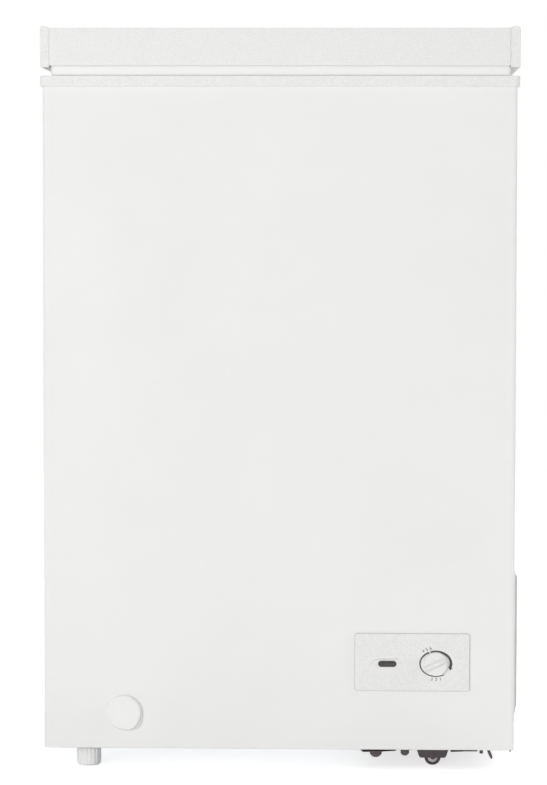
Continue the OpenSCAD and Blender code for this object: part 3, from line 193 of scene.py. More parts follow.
def wire(path, radius, across=(0, 0, 1), sides=8, closed=False):
    # a circle carried along a path: each ring lies square to the path's direction,
    # and one of its spokes square to the direction across as well
    path = np.asarray(path, float)
    if closed:
        along = np.roll(path, -1, axis=0) - np.roll(path, 1, axis=0)
    else:
        along = np.gradient(path, axis=0)
    along /= np.linalg.norm(along, axis=1, keepdims=True)
    spoke = np.cross(along, np.asarray(across, float))
    spoke /= np.linalg.norm(spoke, axis=1, keepdims=True)
    other = np.cross(along, spoke)
    turn = circle(sides)
    ring = turn[:, :1] * spoke[:, None] + turn[:, 1:] * other[:, None]
    caps = () if closed else (0, -1)
    return path[:, None] + radius * ring, gridFaces(len(path), sides, wrapRows=closed, caps=caps)


def roundedRectangle(halfWidth, halfHeight, radius, steps=8, straight=1):
    # points round a rectangle whose corners are arcs, anticlockwise, and the outward
    # direction at each; straight sides are split into the given number of spans
    arcs = []
    for quarter, sign in enumerate(([1, 1], [-1, 1], [-1, -1], [1, -1])):
        angle = np.linspace(0, np.pi / 2, steps + 1) + quarter * np.pi / 2
        outward = spokes(angle)
        centre = sign * np.array([halfWidth - radius, halfHeight - radius])
        arcs.append(np.stack([centre + radius * outward, outward], axis=1))
    share = np.arange(1, straight)[:, None, None] / straight
    sides = [arc[-1] + share * (after[0] - arc[-1])
             for arc, after in zip(arcs, arcs[1:] + arcs[:1])]
    ring = np.vstack([part for pair in zip(arcs, sides) for part in pair])
    return ring[:, 0], ring[:, 1]


def crownedPlate(ring, outward, centre, wall, thickness, edge, rows, relief):
    # a plate standing on a wall: its outline in the wall's plane, a quarter-round edge,
    # and rows that shrink to the centre; relief gives the front's depth at each place
    quarter = np.linspace(0, np.pi / 2, 5)
    insets = np.concatenate([[0, 0], edge * (1 - np.cos(quarter[1:]))])
    heights = np.concatenate([[0, thickness - edge], thickness - edge + edge * np.sin(quarter[1:])])
    rim = ring[None] - insets[:, None, None] * outward[None]
    share = np.linspace(1, 0, rows + 1)[1:, None, None]
    inner = centre + (rim[-1][None] - centre) * share
    flat = np.vstack([rim, inner])
    depth = np.vstack([np.repeat(heights[:, None], len(ring), axis=1),
                       np.full(inner.shape[:2], thickness)])
    depth = depth - np.where(depth >= thickness - 1e-9, relief(flat[..., 0], flat[..., 1]), 0)
    return onWall(flat, wall - depth), gridFaces(*depth.shape, caps=(0,))


def surfaceRelief(tree, shader, grain, height, strength, detail, stretch):
    # an even random relief with hills grain mm apart and height mm high
    coords = addNode(tree, "ShaderNodeTexCoord")
    mapping = addNode(tree, "ShaderNodeMapping", {
        "Vector": coords.outputs["Object"], "Scale": stretch})
    noise = addNode(tree, "ShaderNodeTexNoise", {
        "Vector": mapping.outputs["Vector"], "Scale": 1 / (grain * mm), "Detail": detail,
        "Roughness": 0.5})
    bump = addNode(tree, "ShaderNodeBump", {
        "Height": noise.outputs["Fac"], "Strength": strength, "Distance": height * mm})
    tree.links.new(bump.outputs["Normal"], shader.inputs["Normal"])
    return mapping.outputs["Vector"]


def mottle(tree, shader, vector, tones, rough, patch):
    # patches of tone and gloss, from handling and moulding
    noise = addNode(tree, "ShaderNodeTexNoise", {
        "Vector": vector, "Scale": 1 / (patch * mm), "Detail": 3.0, "Roughness": 0.55})
    spread = addNode(tree, "ShaderNodeMapRange", {
        "Value": noise.outputs["Fac"], "From Min": 0.32, "From Max": 0.68})
    tone = addNode(tree, "ShaderNodeMix", {
        "Factor": spread.outputs["Result"], "A": linear(tones[0]), "B": linear(tones[1])},
        data_type="RGBA")
    gloss = addNode(tree, "ShaderNodeMapRange", {
        "Value": noise.outputs["Fac"], "From Min": 0.3, "From Max": 0.7, "To Min": rough[0],
        "To Max": rough[1]})
    tree.links.new(tone.outputs["Result"], shader.inputs["Base Color"])
    tree.links.new(gloss.outputs["Result"], shader.inputs["Roughness"])


def textured(name, color, grain, height, tones, rough, patch, strength=0.4, detail=2,
             stretch=(1, 1, 1), **sockets):
    # a material with a fine relief, and with patches between two tones and two
    # roughnesses; grain, height and patch are in mm
    material, tree, shader = newMaterial(name, color, Roughness=sum(rough) / 2,
                                         Subsurface_Radius=(1, 1, 1), **sockets)
    vector = surfaceRelief(tree, shader, grain, height, strength, detail, stretch)
    mottle(tree, shader, vector, tones, rough, patch)
    return material


# Powder-coated sheet steel: a level satin white whose faint orange peel bends reflections.
# The peel's waves are 2 mm apart on the real sheet and drawn 5 mm apart to show.
finishes["cabinet_paint"] = textured(
    "powderCoatedSteel", "#f3f3f2", grain=5, height=0.03, strength=0.35, detail=1,
    tones=("#f1f1f0", "#f4f4f3"), rough=(0.31, 0.37), patch=160,
    IOR=1.5, Specular_IOR_Level=0.4)

# Injection-moulded ABS with a spark-eroded grain: matt, with an even pebble that scatters
# light. The real grain is 0.4 mm; its relief is drawn at 1.7 mm and its tone at 1.4 mm.
finishes["white_abs"] = textured(
    "grainedAbs", "#ebebea", grain=1.7, height=0.22, strength=0.7,
    tones=("#e8e8e7", "#f5f5f4"), rough=(0.46, 0.56), patch=1.4,
    IOR=1.53, Specular_IOR_Level=0.35)

# Polished-tool ABS of drain cap and hinge covers: smoother and a little glossier.
finishes["smooth_plastic"] = textured(
    "smoothAbs", "#f4f4f3", grain=3, height=0.02, detail=1,
    tones=("#f2f1f0", "#f6f6f5"), rough=(0.26, 0.36), patch=40,
    IOR=1.53, Subsurface_Weight=0.03, Subsurface_Scale=0.002)

# Moulded polypropylene of the side grille, greyer than the cabinet and matt.
finishes["grille_plastic"] = textured(
    "greyPolypropylene", "#dadad9", grain=1.4, height=0.08, strength=0.5,
    tones=("#d6d6d5", "#dcdcdb"), rough=(0.44, 0.54), patch=30, IOR=1.49)

# Hot-dip galvanised sheet: crystals of zinc, each with its own grey and gloss, about
# 9 mm across.
finishes["galvanised"], tree, shader = newMaterial(
    "galvanisedSteel", "#a9adb0", Metallic=1, Roughness=0.42)
coords = addNode(tree, "ShaderNodeTexCoord")
crystals = addNode(tree, "ShaderNodeTexVoronoi", {
    "Vector": coords.outputs["Object"], "Scale": 1 / (9 * mm)})
spread = addNode(tree, "ShaderNodeSeparateColor", {"Color": crystals.outputs["Color"]})
tone = addNode(tree, "ShaderNodeMix", {
    "Factor": spread.outputs["Red"], "A": linear("#9da1a4"), "B": linear("#b7babd")},
    data_type="RGBA")
gloss = addNode(tree, "ShaderNodeMapRange", {
    "Value": spread.outputs["Green"], "To Min": 0.32, "To Max": 0.5})
tree.links.new(tone.outputs["Result"], shader.inputs["Base Color"])
tree.links.new(gloss.outputs["Result"], shader.inputs["Roughness"])

# Bright zinc plate on pressed steel: pale metal with a soft, slightly uneven sheen.
finishes["zinc_plated"] = textured(
    "zincPlatedSteel", "#b9bcbe", grain=1.5, height=0.02,
    tones=("#aeb1b4", "#c2c4c5"), rough=(0.27, 0.4), patch=12, Metallic=1)

# Stucco-embossed aluminium with a clear coat: shallow cells pressed by a roll, 3 mm on
# the real sheet and drawn at 5 mm, that break up every reflection.
finishes["liner_aluminium"], tree, shader = newMaterial(
    "stuccoAluminium", "#e3e5e6", Metallic=1, Roughness=0.36, Coat_Weight=0.25,
    Coat_Roughness=0.2)
coords = addNode(tree, "ShaderNodeTexCoord")
wander = addNode(tree, "ShaderNodeTexNoise", {
    "Vector": coords.outputs["Object"], "Scale": 1 / (7 * mm), "Detail": 1.0})
shifted = addNode(tree, "ShaderNodeMix", {
    "Factor": 0.006, "A": coords.outputs["Object"], "B": wander.outputs["Color"]},
    data_type="VECTOR")
cells = addNode(tree, "ShaderNodeTexVoronoi", {
    "Vector": shifted.outputs["Result"], "Scale": 1 / (5 * mm)}, feature="SMOOTH_F1")
bump = addNode(tree, "ShaderNodeBump", {
    "Height": cells.outputs["Distance"], "Strength": 0.55, "Distance": 0.4 * mm})
gloss = addNode(tree, "ShaderNodeMapRange", {
    "Value": cells.outputs["Distance"], "From Max": 0.6, "To Min": 0.3, "To Max": 0.44})
tree.links.new(bump.outputs["Normal"], shader.inputs["Normal"])
tree.links.new(gloss.outputs["Result"], shader.inputs["Roughness"])

# Drawn aluminium tube: dull, with fine draw lines.
finishes["tube_aluminium"] = textured(
    "drawnAluminium", "#c6c9cb", grain=1.2, height=0.03,
    tones=("#bbbec0", "#cdd0d2"), rough=(0.34, 0.48), patch=18, Metallic=1)

# Drawn copper, handled and lightly tarnished: warm metal with browner patches.
finishes["copper"] = textured(
    "drawnCopper", "#c17a52", grain=1, height=0.03,
    tones=("#97593a", "#cf8b60"), rough=(0.26, 0.46), patch=14, Metallic=1)

# Black stoving enamel over pressed steel: deep, half gloss, with a slight peel.
finishes["black_steel"] = textured(
    "blackEnamelledSteel", "#4a4041", grain=3, height=0.04, strength=0.5, detail=1,
    tones=("#443a3b", "#50464a"), rough=(0.3, 0.46), patch=22,
    IOR=1.5, Coat_Weight=0.15, Coat_Roughness=0.25)

# Moulded nitrile rubber: dark, soft and dusty.
finishes["rubber"] = textured(
    "nitrileRubber", "#3a3634", grain=1, height=0.05, strength=0.5,
    tones=("#332f2e", "#45403e"), rough=(0.65, 0.82), patch=9, IOR=1.52)

# Extruded soft PVC of the gasket: the whitest part, smooth and slightly waxy.
finishes["gasket_vinyl"] = textured(
    "softPvc", "#f5f5f3", grain=6, height=0.03, detail=1,
    stretch=(0.1, 0.1, 1), tones=("#f3f3f1", "#f7f7f5"), rough=(0.34, 0.44), patch=60, IOR=1.53)

# Rigid polyurethane foam: cream, matt, with cells that are drawn at 2 mm.
finishes["foam"], tree, shader = newMaterial(
    "rigidFoam", "#e9d9a6", IOR=1.45, Roughness=0.9)
coords = addNode(tree, "ShaderNodeTexCoord")
cells = addNode(tree, "ShaderNodeTexVoronoi", {
    "Vector": coords.outputs["Object"], "Scale": 1 / (2 * mm)})
bump = addNode(tree, "ShaderNodeBump", {
    "Height": cells.outputs["Distance"], "Strength": 0.6, "Distance": 0.4 * mm})
tone = addNode(tree, "ShaderNodeMix", {
    "Factor": cells.outputs["Distance"], "A": linear("#eddfae"), "B": linear("#d9c68d")},
    data_type="RGBA")
tree.links.new(bump.outputs["Normal"], shader.inputs["Normal"])
tree.links.new(tone.outputs["Result"], shader.inputs["Base Color"])

# Dark tinted polycarbonate of the indicator: a nearly black brown, glossy.
finishes["lens"] = textured(
    "tintedPolycarbonate", "#34292b", grain=2, height=0.02, strength=0.3,
    tones=("#2f2426", "#382c2e"), rough=(0.18, 0.28), patch=5, IOR=1.58)

# Orange glass-filled PBT of the lamp housing.
finishes["lamp"] = textured(
    "orangePbt", "#d9823a", grain=1, height=0.04, strength=0.5,
    tones=("#cf7631", "#e08c45"), rough=(0.34, 0.48), patch=8, IOR=1.55)

# Natural polyamide of the levelling feet: nearly white, a little light passes through.
finishes["foot_plastic"] = textured(
    "naturalPolyamide", "#f7f7f6", grain=1.5, height=0.05,
    tones=("#f4f4f3", "#fafaf9"), rough=(0.36, 0.5), patch=10,
    IOR=1.53, Subsurface_Weight=0.15, Subsurface_Scale=0.004)

# Black polyamide of the rollers: matt with scuffs on the tread.
finishes["roller_plastic"] = textured(
    "blackPolyamide", "#4b4344", grain=1, height=0.05, strength=0.5,
    tones=("#433c3d", "#564d4e"), rough=(0.42, 0.62), patch=5, IOR=1.53)

# Wire dipped in white polyethylene: thick rounded coat with soft highlights.
finishes["coated_wire"] = textured(
    "dippedWire", "#eeeeec", grain=4, height=0.1, strength=0.5, detail=1,
    tones=("#ebebe9", "#f1f1ef"), rough=(0.26, 0.36), patch=25,
    IOR=1.5, Subsurface_Weight=0.05, Subsurface_Scale=0.001)

# Oiled spring steel: dark grey metal with a blue-brown tint from tempering.
finishes["spring_steel"] = textured(
    "temperedSpringSteel", "#6e6f73", grain=0.8, height=0.02,
    tones=("#5c5a5c", "#7d8088"), rough=(0.24, 0.38), patch=6, Metallic=1)

# Vacuum-formed polystyrene of the lid's inner panel: smooth gloss white, softly wavy.
formedPolystyrene = textured(
    "formedPolystyrene", "#f2f2f0", grain=40, height=0.25, strength=0.3, detail=1,
    tones=("#f1f1ef", "#f3f3f1"), rough=(0.25, 0.29), patch=120,
    IOR=1.59, Subsurface_Weight=0.04, Subsurface_Scale=0.002)

# Pad-printed black ink of the dial: flat, with slightly uneven cover.
printInk = textured(
    "padPrintInk", "#4a474a", grain=0.6, height=0.01, strength=0.3,
    tones=("#434043", "#565256"), rough=(0.5, 0.62), patch=1.5, IOR=1.48)

nodeFinish = {"lid_liner": formedPolystyrene}
slotOf = {}
for name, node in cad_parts.items():
    slotOf[name] = node.material_slots[0].material.name.split(".")[0]
    node.data.materials[0] = nodeFinish.get(name, finishes[slotOf[name]])
print("slots with a finish:", len(finishes))


# right and height are from the shell's middle and the floor, distance from its front;
# down, turn and roll are in radians, the lens in mm
view = {"right": 104.2 * mm, "distance": 3.6, "height": 632.5 * mm, "down": 0.05505,
        "turn": 0.03069, "roll": 0.00154, "lens": 144.97}

cameraData = bpy.data.cameras.new("studioCamera")
cameraData.lens = view["lens"]
cameraData.sensor_width = 36
cameraData.clip_end = 50
camera = bpy.data.objects.new("studioCamera", cameraData)
camera.matrix_world = (
    Matrix.Translation((middleX + view["right"], frontY - view["distance"], view["height"]))
    @ Matrix.Rotation(view["turn"], 4, "Z")
    @ Matrix.Rotation(math.pi / 2 - view["down"], 4, "X")
    @ Matrix.Rotation(view["roll"], 4, "Z"))
bpy.context.scene.collection.objects.link(camera)
bpy.context.scene.camera = camera
bpy.context.scene.view_settings.view_transform = "Standard"

# ambient is the world's level, floorGlow what the floor adds where it is seen directly or
# mirrored; each lamp has its power in watts, its size, place and aim, and whether gloss
# reflects it
studio = {
    "ambient": 0.34, "floorGlow": 0.7, "floorHalf": 4.0,
    "lamps": {
        "frontLamp": (110, 2.8, (-1.7, -4.0, 0.3), (0, -0.2, 0.4), False),
        "keyLamp": (16, 1.5, (-2.6, -3.2, 2.2), (0, -0.2, 0.5), True),
        "rightLamp": (32, 1.6, (3.8, -1.2, 1.4), (0, 0, 0.45), False),
        "overheadLamp": (25, 2.2, (0.1, 0.4, 3.4), (0, 0, 0.85), True),
        "backLamp": (100, 2.0, (2.3, 3.7, 1.9), (0, 0.2, 0.5), False),
    },
}
white = linear("#ffffff")


def seenOrMirrored(tree):
    # all rays, and 1 for a ray from the camera or a glossy surface and 0 for the others
    rays = addNode(tree, "ShaderNodeLightPath")
    seen = addNode(tree, "ShaderNodeMath", {
        0: rays.outputs["Is Camera Ray"], 1: rays.outputs["Is Glossy Ray"]}, operation="MAXIMUM")
    return rays, seen.outputs[0]


world = bpy.data.worlds.new("studioWorld")
bpy.context.scene.world = world
world.use_nodes = True
tree = world.node_tree
tree.nodes.clear()
rays, seen = seenOrMirrored(tree)
seenOrThrough = addNode(tree, "ShaderNodeMath", {
    0: seen, 1: rays.outputs["Is Transmission Ray"]}, operation="MAXIMUM")
ambient = addNode(tree, "ShaderNodeBackground", {"Color": white, "Strength": studio["ambient"]})
backdrop = addNode(tree, "ShaderNodeBackground", {"Color": white, "Strength": 1.0})
mixed = addNode(tree, "ShaderNodeMixShader", {
    0: seenOrThrough.outputs[0], 1: ambient.outputs[0], 2: backdrop.outputs[0]})
addNode(tree, "ShaderNodeOutputWorld", {"Surface": mixed.outputs[0]})

# Matt studio paper, nearly white; its fibres are drawn about 1 mm apart.
floorMesh = bpy.data.meshes.new("studioFloor")
half = studio["floorHalf"]
floorMesh.from_pydata([(-half, -half, 0), (half, -half, 0), (half, half, 0), (-half, half, 0)],
                      [], [(0, 1, 2, 3)])
floor = bpy.data.objects.new("studioFloor", floorMesh)
bpy.context.scene.collection.objects.link(floor)
paperSweep = bpy.data.materials.new("paperSweep")
paperSweep.use_nodes = True
tree = paperSweep.node_tree
tree.nodes.clear()
coords = addNode(tree, "ShaderNodeTexCoord")
fibres = addNode(tree, "ShaderNodeTexNoise", {"Vector": coords.outputs["Object"], "Scale": 900.0})
tone = addNode(tree, "ShaderNodeMix", {
    "Factor": fibres.outputs["Fac"], "A": linear("#e9e9e9"), "B": linear("#eeeeee")},
    data_type="RGBA")
paper = addNode(tree, "ShaderNodeBsdfDiffuse", {"Color": tone.outputs["Result"]})
lift = addNode(tree, "ShaderNodeMath", {0: seenOrMirrored(tree)[1], 1: studio["floorGlow"]},
               operation="MULTIPLY")
glow = addNode(tree, "ShaderNodeEmission", {"Color": white, "Strength": lift.outputs[0]})
both = addNode(tree, "ShaderNodeAddShader", {0: paper.outputs[0], 1: glow.outputs[0]})
addNode(tree, "ShaderNodeOutputMaterial", {"Surface": both.outputs[0]})
floorMesh.materials.append(paperSweep)

for lampName, (power, size, place, aim, mirrored) in studio["lamps"].items():
    lamp = bpy.data.lights.new(lampName, "AREA")
    lamp.energy = power
    lamp.shape = "DISK"
    lamp.size = size
    lampObject = bpy.data.objects.new(lampName, lamp)
    lampObject.location = place
    lampObject.rotation_euler = (Vector(aim) - Vector(place)).to_track_quat("-Z", "Y").to_euler()
    lampObject.visible_glossy = mirrored
    bpy.context.scene.collection.objects.link(lampObject)
print("camera, floor and lamps ready")


# Solids shown with rounded edges: name, body, rounding in mm and, for one, a left trim.
# Faces within the flat angle are joined; edges past the others shade sharp or are rounded.
softening = {
    "merge": 2e-6, "flat": 0.4, "sharp": 28, "rounded": 50, "segments": 3, "trimFade": 8,
    "parts": {
        "lid_front_rail": ("lidFrontRail", "lid", 0.9),
        "lid_cap_left": ("lidCapLeft", "lid", 0.7, 0.9),
        "lid_cap_right": ("lidCapRight", "lid", 0.7),
        "lid_panel": ("lidPanel", "lid", 0.4),
        "lid_liner": ("lidInnerPanel", "lid", 0.7),
        "top_frame": ("topFrame", "cabinet", 0.4),
        "hinge_covers": ("hingeCovers", "cabinet", 0.8),
        "side_grille": ("sideGrille", "cabinet", 0.5),
        "starter_box": ("starterBox", "cabinet", 1.2),
        "drain_plug": ("cavityPlug", "inner_drain_plug", 0.6),
    },
}


def softened(node, name, body, radius, leftTrim=0):
    # a merged copy of a solid with its flat faces joined again, and every edge rounded
    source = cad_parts[node].data
    mesh = source.copy()
    mesh.name = name
    work = bmesh.new()
    work.from_mesh(mesh)
    bmesh.ops.remove_doubles(work, verts=work.verts, dist=softening["merge"])
    bmesh.ops.dissolve_limit(work, angle_limit=math.radians(softening["flat"]),
                             verts=work.verts, edges=work.edges)
    work.to_mesh(mesh)
    work.free()
    # the trim moves the left side to the right, in full at the side and fading inwards
    places = np.empty((len(mesh.vertices), 3), np.float32)
    mesh.vertices.foreach_get("co", places.ravel())
    inwards = (places[:, 0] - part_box(node)[0].x) / (softening["trimFade"] * mm)
    places[:, 0] += leftTrim * mm * np.clip(1 - inwards, 0, None)
    mesh.vertices.foreach_set("co", places.ravel())
    if "custom_normal" in mesh.attributes:
        mesh.attributes.remove(mesh.attributes["custom_normal"])
    piece = finishPiece(name, mesh, slotOf[node], body, [node], softening["sharp"],
                        source.materials[0])
    rounding = piece.modifiers.new("edgeRounding", "BEVEL")
    rounding.width = radius * mm
    rounding.segments = softening["segments"]
    rounding.limit_method = "ANGLE"
    rounding.angle_limit = math.radians(softening["rounded"])
    rounding.harden_normals = True
    rounding.use_clamp_overlap = False


for node, settings in softening["parts"].items():
    softened(node, *settings)
print("softened parts ready:", len(softening["parts"]))


# Lid gasket: the section of an extruded bellows, carried round the lid's outline.
gasket = {
    "corner": 4, "growLeft": 1.3, "growRight": 2.6, "forward": 8.5,
    # outline of the section in mm: distance in from the outer edge, height over the foot
    "section": [(1.8, 0), (1.6, 0.5), (0.9, 0.9), (0.3, 2.2), (0, 4.8), (0, 8.4), (0.2, 9.9),
                (0.6, 10.7), (13.6, 10.7), (13.2, 8.4), (10.6, 7.4), (12.2, 5.2), (10.8, 3.6),
                (13.2, 2.8), (13.8, 0)],
}
low, high = corners("lid_gasket")
low[:2] -= np.array([gasket["growLeft"], gasket["forward"]]) * mm
high[0] += gasket["growRight"] * mm
ring, outward = roundedRectangle((high[0] - low[0]) / 2, (high[1] - low[1]) / 2,
                                 gasket["corner"] * mm, steps=10, straight=6)
section = np.array(gasket["section"]) * mm
section[:, 1] *= (high[2] - low[2]) / section[:, 1].max()
# the section's inset moves each point of the outline inwards, its height lifts it
flat = ring[:, None] - section[None, :, :1] * outward[:, None] + (low[:2] + high[:2]) / 2
height = np.broadcast_to(low[2] + section[None, :, 1:], flat.shape[:2] + (1,))
points = np.concatenate([flat, height], axis=-1)
newPiece("doorGasket", points, gridFaces(*points.shape[:2], wrapRows=True),
         "gasket_vinyl", "lid", ["lid_gasket"], sharp=30)


# Control panel in mm: its top edge is lowered, and room is left for what stands on its
# front. The scoop round the lens has a crisp top, flared sides and a long run-out.
panel = {"corner": 3, "edge": 0.7, "rows": 110, "lower": 1.3, "room": 0.4, "scoopDepth": 1.5,
         "scoopTop": 5.6, "scoopCrisp": 1.1, "scoopFull": 2, "scoopLength": 15,
         "scoopHalf": 13.5, "scoopFlare": 0.75, "scoopSide": 1.6}
low, high = corners("control_panel")
high[2] -= panel["lower"] * mm
lensLow, lensHigh = corners("indicator_lens")
panelMiddle = ((low + high) / 2)[[0, 2]]
lensCentre = centreOf("indicator_lens")[[0, 2]]
dialCentre = centreOf("thermostat")[[0, 2]]
panelFront = low[1] + panel["room"] * mm
panelThickness = frontY - panelFront


def scoopDepth(x, z):
    # deepest just under a crisp upper edge and running out downwards; the sides flare
    down = (lensCentre[1] + panel["scoopTop"] * mm - z) / mm
    side = np.abs(x - lensCentre[0]) / mm
    half = panel["scoopHalf"] + panel["scoopFlare"] * np.maximum(down, 0)
    return (panel["scoopDepth"] * mm * smoothStep(0, panel["scoopCrisp"], down)
            * (1 - smoothStep(panel["scoopFull"], panel["scoopLength"], down))
            * (1 - smoothStep(-panel["scoopSide"], panel["scoopSide"], side - half)))


ring, outward = roundedRectangle((high[0] - low[0]) / 2, (high[2] - low[2]) / 2,
                                 panel["corner"] * mm, steps=8, straight=70)
plate = crownedPlate(ring + panelMiddle, outward, panelMiddle, frontY, panelThickness,
                     panel["edge"] * mm, panel["rows"], scoopDepth)
newPiece("controlPanel", *plate, "white_abs", "cabinet", ["control_panel"], sharp=35)

# A thin grey seal under the panel's edge shows as a line round it. Its grey is a painted shadow
# line, standing in for the shade in the gap round the panel. Its section gives the distance out
# from the panel's edge and the height over the wall, in mm.
paintedShadowSeal = textured("paintedShadowSeal", "#b2b2b1", grain=0.8, height=0.05, strength=0.5,
                    tones=("#acacab", "#b8b8b7"), rough=(0.8, 0.9), patch=3, IOR=1.45)
sealSection = [(-1.2, -0.2), (0.4, -0.2), (0.4, 0.5), (-1.2, 0.5)]
rows = [onWall(ring + panelMiddle + out * mm * outward, frontY - height * mm)
        for out, height in sealSection]
newPiece("panelSealPaintedShadow", rows, gridFaces(len(rows), len(ring), wrapRows=True), "white_abs",
         "cabinet", sharp=30, material=paintedShadowSeal)

# Indicator lens: a bar with round ends, just proud of the panel. A roundness under 1
# keeps the two corners of each end apart.
lens = {"inset": 1.5, "proud": 0.05, "crown": 0.35, "edge": 0.6, "drop": 0.6, "rows": 12,
        "roundness": 0.999}
lensCentre[1] -= lens["drop"] * mm
halfWidth, halfHeight = (lensHigh - lensLow)[[0, 2]] / 2 - lens["inset"] * mm
ring, outward = roundedRectangle(halfWidth, halfHeight, halfHeight * lens["roundness"],
                                 steps=12, straight=8)


def lensCrown(x, z):
    # the front bulges: least depth along the middle, most at the rim
    across = np.clip(np.abs(z - lensCentre[1]) / halfHeight, 0, 1)
    return lens["crown"] * mm * across ** 2


bar = crownedPlate(ring + lensCentre, outward, lensCentre, frontY,
                   panelThickness + lens["proud"] * mm, lens["edge"] * mm, lens["rows"], lensCrown)
newPiece("indicatorLens", *bar, "lens", "cabinet", ["indicator_lens"])

# Printed scale, in mm and degrees: two arcs of an oval that leave a gap at the top, one
# widening to an arrow and one thinning out, with numerals outside them.
dial = {"half": (18.9, 15.2), "lift": 0.06, "sunk": 0.05, "steps": 60,
        "thickArc": (110.5, -17, 2.0, 3.2), "thinArc": (115.5, 302, 2.0, 0.9),
        "arrowIn": 1.7, "arrowLength": 3.4, "arrowWidth": 5.4, "arrowLean": 0.25,
        "digits": {"1": 284, "2": 271, "3": 258, "4": 130, "5": 118, "6": 106},
        "digitSize": 5.0, "digitOut": 3.2, "digitHalfThickness": 0.04}
ovalHalf = np.array(dial["half"])
inkFront = panelFront - dial["lift"] * mm
inkBack = panelFront + dial["sunk"] * mm


def inkArc(start, end, widthStart, widthEnd):
    # a flat band between an oval and a smaller one, whose width changes along it
    angle = np.radians(np.linspace(start, end, dial["steps"]))
    width = np.linspace(widthStart, widthEnd, dial["steps"]) * mm
    outer = ovalHalf * mm * spokes(angle)
    inner = outer * (1 - width / np.linalg.norm(outer, axis=1))[:, None]
    band = np.stack([outer, inner, inner, outer], axis=1) + dialCentre
    return (onWall(band, [inkFront, inkFront, inkBack, inkBack]),
            gridFaces(dial["steps"], 4, caps=(0, -1)))


def inkArrow(angle):
    # a triangle at the end of the wide arc, pointing on round the dial
    a = math.radians(angle)
    place = ovalHalf * spokes(a)
    middle = place * (1 - dial["arrowIn"] / np.linalg.norm(place))
    along = ovalHalf * [math.sin(a), -math.cos(a)]
    along /= np.linalg.norm(along)
    across = np.array([along[1], -along[0]]) * dial["arrowWidth"]
    tip = middle + along * dial["arrowLength"] - across * dial["arrowLean"]
    triangle = np.array([middle + across / 2, middle - across / 2, tip])
    return pressed(triangle * mm + dialCentre, inkFront, inkBack)


inked = joinGrids([inkArc(*dial["thickArc"]), inkArc(*dial["thinArc"]),
                   inkArrow(dial["thickArc"][1])])
newPiece("dialScale", *inked, "white_abs", "cabinet", sharp=30, material=printInk)


def dialDigit(digit, angle):
    # a numeral stood on its place outside the dial, its foot towards the dial's centre
    curve = bpy.data.curves.new("dialDigit" + digit, "FONT")
    curve.body = digit
    curve.align_x = "CENTER"
    curve.align_y = "CENTER"
    curve.size = dial["digitSize"] * mm
    curve.extrude = dial["digitHalfThickness"] * mm
    holder = bpy.data.objects.new(curve.name, curve)
    bpy.context.scene.collection.objects.link(holder)
    bpy.context.view_layer.update()
    depsgraph = bpy.context.evaluated_depsgraph_get()
    mesh = bpy.data.meshes.new_from_object(holder.evaluated_get(depsgraph))
    bpy.data.objects.remove(holder)
    a = math.radians(angle)
    place = Vector(onWall(dialCentre + (dial["digitOut"] + ovalHalf) * mm * spokes(a), panelFront))
    upright = 90 if math.sin(a) > 0 else 270
    mesh.transform(Matrix.Translation(place)
                   @ Matrix.Rotation(math.radians(upright - angle), 4, "Y")
                   @ Matrix.Rotation(math.pi / 2, 4, "X"))
    finishPiece(curve.name, cleaned(mesh), "white_abs", "cabinet", sharp=30, material=printInk)


for digit, angle in dial["digits"].items():
    dialDigit(digit, angle)
print("control panel ready")


# Thermostat knob in mm and shares of its radius: a disc with a grip across it, which
# narrows towards its pointing end and has a fine line there.
knob = {"gripAngle": 26, "gripHalf": 3.0, "gripTaper": 0.55, "taperFrom": 0.55,
        "gripCrown": 0.06, "skirt": 0.5, "edge": 1.1, "soft": 3.2, "rim": (-1.6, -0.4),
        "line": 0.3, "lineHalf": (0.35, 0.6), "lineStart": (0.35, 0.4), "gap": 0.7,
        "rings": 56, "rimRings": 9, "rimStart": 0.94, "columns": 168}
low, high = corners("thermostat_knob")
knobRadius = (high[0] - low[0]) / 2
knobBack = panelFront - knob["gap"] * mm
knobOut = knobBack - low[1]


def knobHeight(r, angle):
    # a skirt with a quarter-round edge; the grip rises from it along one diameter
    gripAngle = math.radians(knob["gripAngle"])
    along = r * np.cos(angle - gripAngle) / knobRadius
    across = np.abs(r * np.sin(angle - gripAngle)) / mm
    half = knob["gripHalf"] * (1 - knob["gripTaper"] * smoothStep(knob["taperFrom"], 1, along))
    edge = knob["edge"] * mm
    over = np.clip(r - (knobRadius - edge), 0, edge)
    skirt = knobOut * knob["skirt"] - edge + np.sqrt(np.maximum(edge ** 2 - over ** 2, 0))
    rise = 1 - smoothStep(-knob["soft"] / 2, knob["soft"] / 2, across - half)
    inside = 1 - smoothStep(*knob["rim"], (r - knobRadius) / mm)
    crown = 1 - knob["gripCrown"] * (across / half) ** 2 * (across < half)
    groove = (knob["line"] * mm * (1 - smoothStep(*knob["lineHalf"], across))
              * smoothStep(*knob["lineStart"], along))
    return skirt + (knobOut * crown - groove - skirt) * rise * inside


# rings to the rim, closer ones over its rounding, and a last one at the knob's back
overRim = np.sin(np.linspace(0.1, np.pi / 2, knob["rimRings"]))
shares = np.concatenate([np.linspace(0, knob["rimStart"], knob["rings"]),
                         knob["rimStart"] + (1 - knob["rimStart"]) * overRim, [1]])
angles = np.linspace(0, 2 * np.pi, knob["columns"], endpoint=False)
r, a = np.meshgrid(shares * knobRadius, angles, indexing="ij")
height = knobHeight(r, a)
height[-1] = 0
flat = r[..., None] * circle(knob["columns"]) + dialCentre
newPiece("thermostatKnob", onWall(flat, knobBack - height), gridFaces(*r.shape, caps=(-1,)),
         "smooth_plastic", "knob", ["thermostat_knob"], sharp=50, material=finishes["white_abs"])
